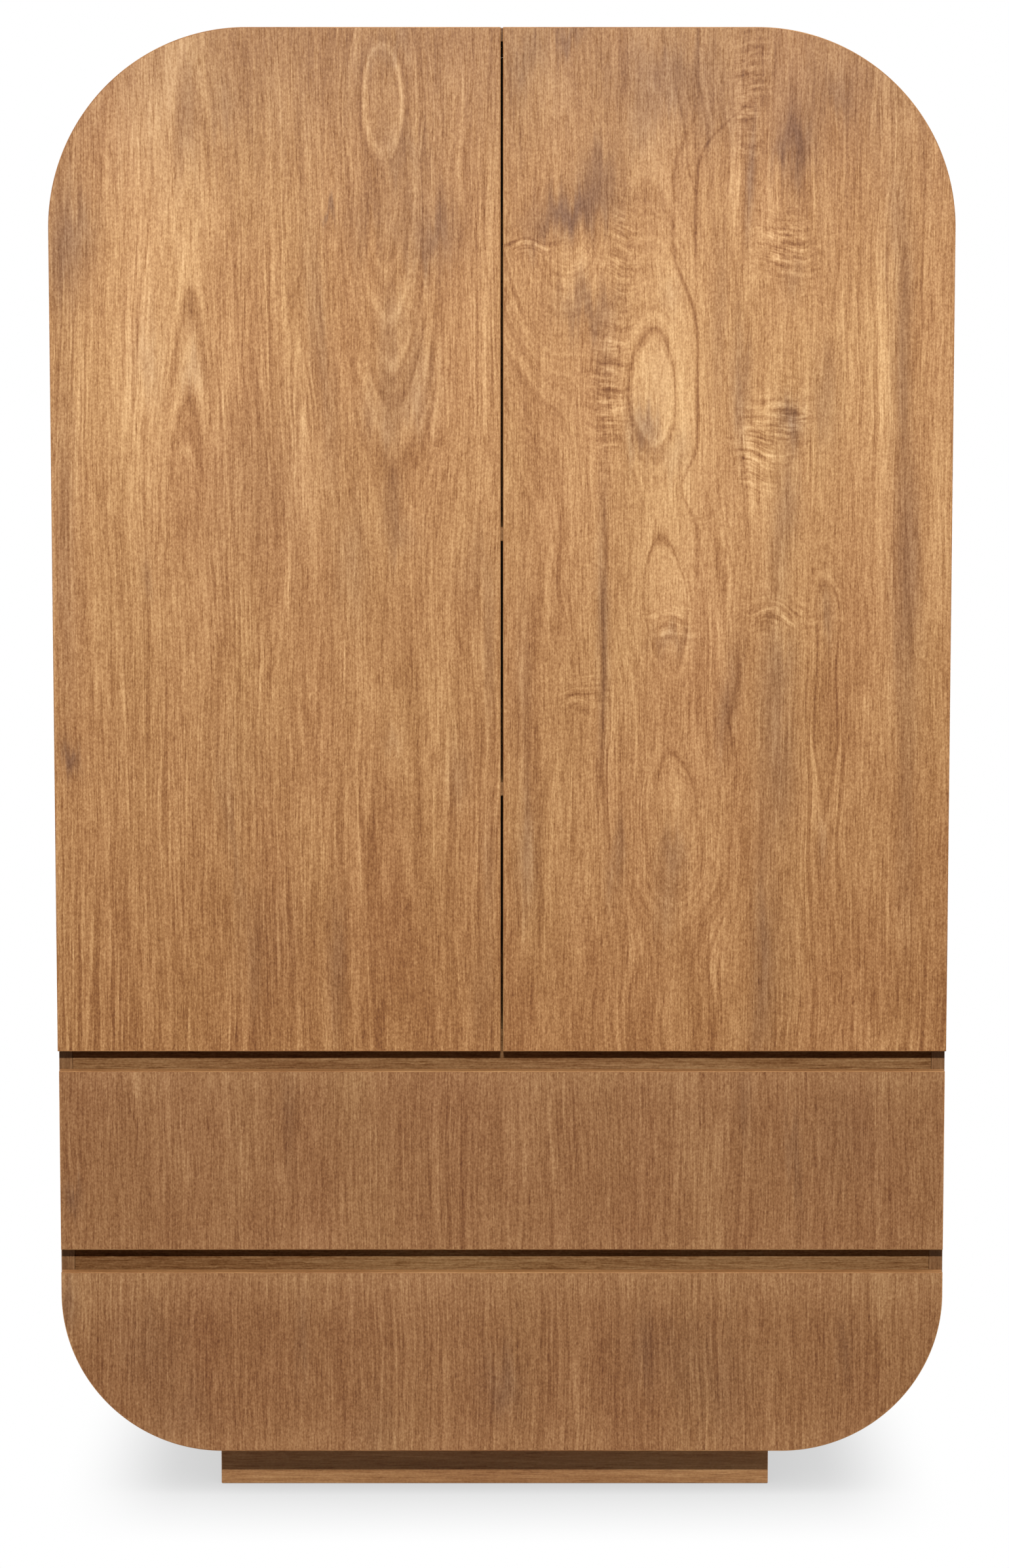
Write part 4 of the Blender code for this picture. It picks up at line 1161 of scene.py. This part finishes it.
def build_drawer_side(name, side_name, side):
    """A box side, rounded on its top edge, with the groove that holds the bottom."""
    node = f"{name}_{side_name}_side"
    low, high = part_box(node)
    floor_low, floor_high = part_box(f"{name}_bottom")
    outer, inner = (high.x, low.x) if side > 0 else (low.x, high.x)
    groove = inner + side * GROOVE_DEPTH
    groove_low = floor_low.z - SEAT
    groove_high = floor_high.z + SEAT
    corners = [
        (outer, low.z), (outer, high.z), (inner, high.z), (inner, groove_high), (groove, groove_high),
        (groove, groove_low), (inner, groove_low), (inner, low.z),
    ]
    outline = rounded(corners, (0.0006, 0.003, 0.003, 0.0004, 0, 0, 0.0004, 0.0006), (2, 6, 6, 2, 1, 1, 2, 2))
    work = new_work()
    add_bar(work, outline, low.y, high.y)
    shift = (0.4 * side, 1.2 * side + 6, 0)
    make_piece(f"{node}_board", work, "birch", name, (node,), "zyx", shift)


def build_inside():
    """What both sides have: shelf pins, hinges and bumpers, and the drawers' boxes and slides."""
    for side_name, side in SIDES:
        for node in shelf_pins(side_name):
            build_pin(node, side)
        door = f"{side_name}_door"
        for level in LEVELS:
            cup = f"{side_name}_hinge_cup_{level}"
            build_cup(cup, door)
            build_arm(f"{side_name}_hinge_arm_{level}", side)
            build_links(f"{side_name}_hinge_links_{level}", cup, side)
        build_bumpers(side_name, side)
        for name in ("upper_drawer", "lower_drawer"):
            build_drawer_side(name, side_name, side)
            build_slide(name, side_name, side)
    for name in ("upper_drawer", "lower_drawer"):
        for part, grain, shift in (("back", "zxy", (0.9, 2.0, 0)), ("bottom", "yxz", (1.7, 4.0, 0))):
            build_board(f"{name}_{part}", "birch", name, grain, shift, THIN_BOARD_EASE)


def add_camera():
    data = bpy.data.cameras.new("camera")
    data.sensor_fit = "AUTO"
    data.sensor_width = SENSOR
    data.lens = SENSOR * FOCAL_PIXELS / PHOTO_HEIGHT
    camera = shown("camera", data)
    camera.location = CAMERA_PLACE
    camera.rotation_euler = (math.radians(90 - CAMERA_PITCH), 0, 0)
    bpy.context.scene.camera = camera


def add_lights():
    for name, place, aim, width, height, watts, spread in LIGHTS:
        data = bpy.data.lights.new(name, "AREA")
        data.shape = "RECTANGLE"
        data.size = width
        data.size_y = height
        data.energy = watts
        data.spread = math.radians(spread)
        lamp = shown(name, data)
        lamp.location = place
        lamp.rotation_mode = "QUATERNION"
        lamp.rotation_quaternion = (Vector(aim) - Vector(place)).to_track_quat("-Z", "Y")


def output_white(graph, output, plain, white):
    """Ends a graph in two shaders mixed so that the camera, gloss and glass see the white one."""
    path = graph.tree.nodes.new("ShaderNodeLightPath")
    camera, gloss, glass = [
        Signal(graph, path.outputs[f"Is {kind} Ray"]) for kind in ("Camera", "Glossy", "Transmission")
    ]
    seen = graph.math("MAXIMUM", camera, graph.math("MAXIMUM", gloss, glass))
    mix = graph.node("ShaderNodeMixShader", {0: seen, 1: plain, 2: white})
    graph.plug(graph.tree.nodes[output].inputs["Surface"], mix)


def add_world():
    graph = Graph("studio", bpy.data.worlds, "Background")
    graph.look(Color=WHITE, Strength=AMBIENT)
    white = graph.node("ShaderNodeBackground", {"Color": WHITE, "Strength": 1.0})
    output_white(graph, "World Output", Signal(graph, graph.shader.outputs[0]), white)
    bpy.context.scene.world = graph.block


def add_floor():
    """A pale sheet on a dark floor. The camera sees it all as white, but for the soft shadow on the sheet."""
    graph = Graph("pale_floor")
    graph.tree.nodes.remove(graph.shader)
    across, along, _ = graph.place("ShaderNodeTexCoord", "Object")
    beyond = graph.step(graph.math("SQRT", across * across + along * along), *SHEET_EDGE)
    colour = graph.fused(beyond, FLOOR_COLOUR - SHEET_COLOUR, SHEET_COLOUR)
    plain = graph.node("ShaderNodeBsdfDiffuse", {"Color": colour})
    open_share = graph.node("ShaderNodeAmbientOcclusion", {"Distance": SHADOW_REACH}, "AO", samples=16)
    under = 1.0 - graph.step(graph.math("ABSOLUTE", across), *SHADOW_HALF_WIDTH)
    strength = 1.0 - (1.0 - open_share) * under * SHADOW_DEPTH
    white = graph.node("ShaderNodeEmission", {"Strength": strength})
    output_white(graph, "Material Output", plain, white)

    half = FLOOR_SIZE / 2
    mesh = bpy.data.meshes.new("floor")
    mesh.from_pydata([(x, z, 0) for x, z in rectangle(-half, half, -half, half)], [], [(0, 1, 2, 3)])
    mesh.materials.append(graph.block)
    shown("floor", mesh)


bpy.context.scene.view_settings.view_transform = "Standard"
add_camera()
add_lights()
add_world()
add_floor()
build_fronts()
build_shell()
build_boards()
build_back_panel()
build_inside()
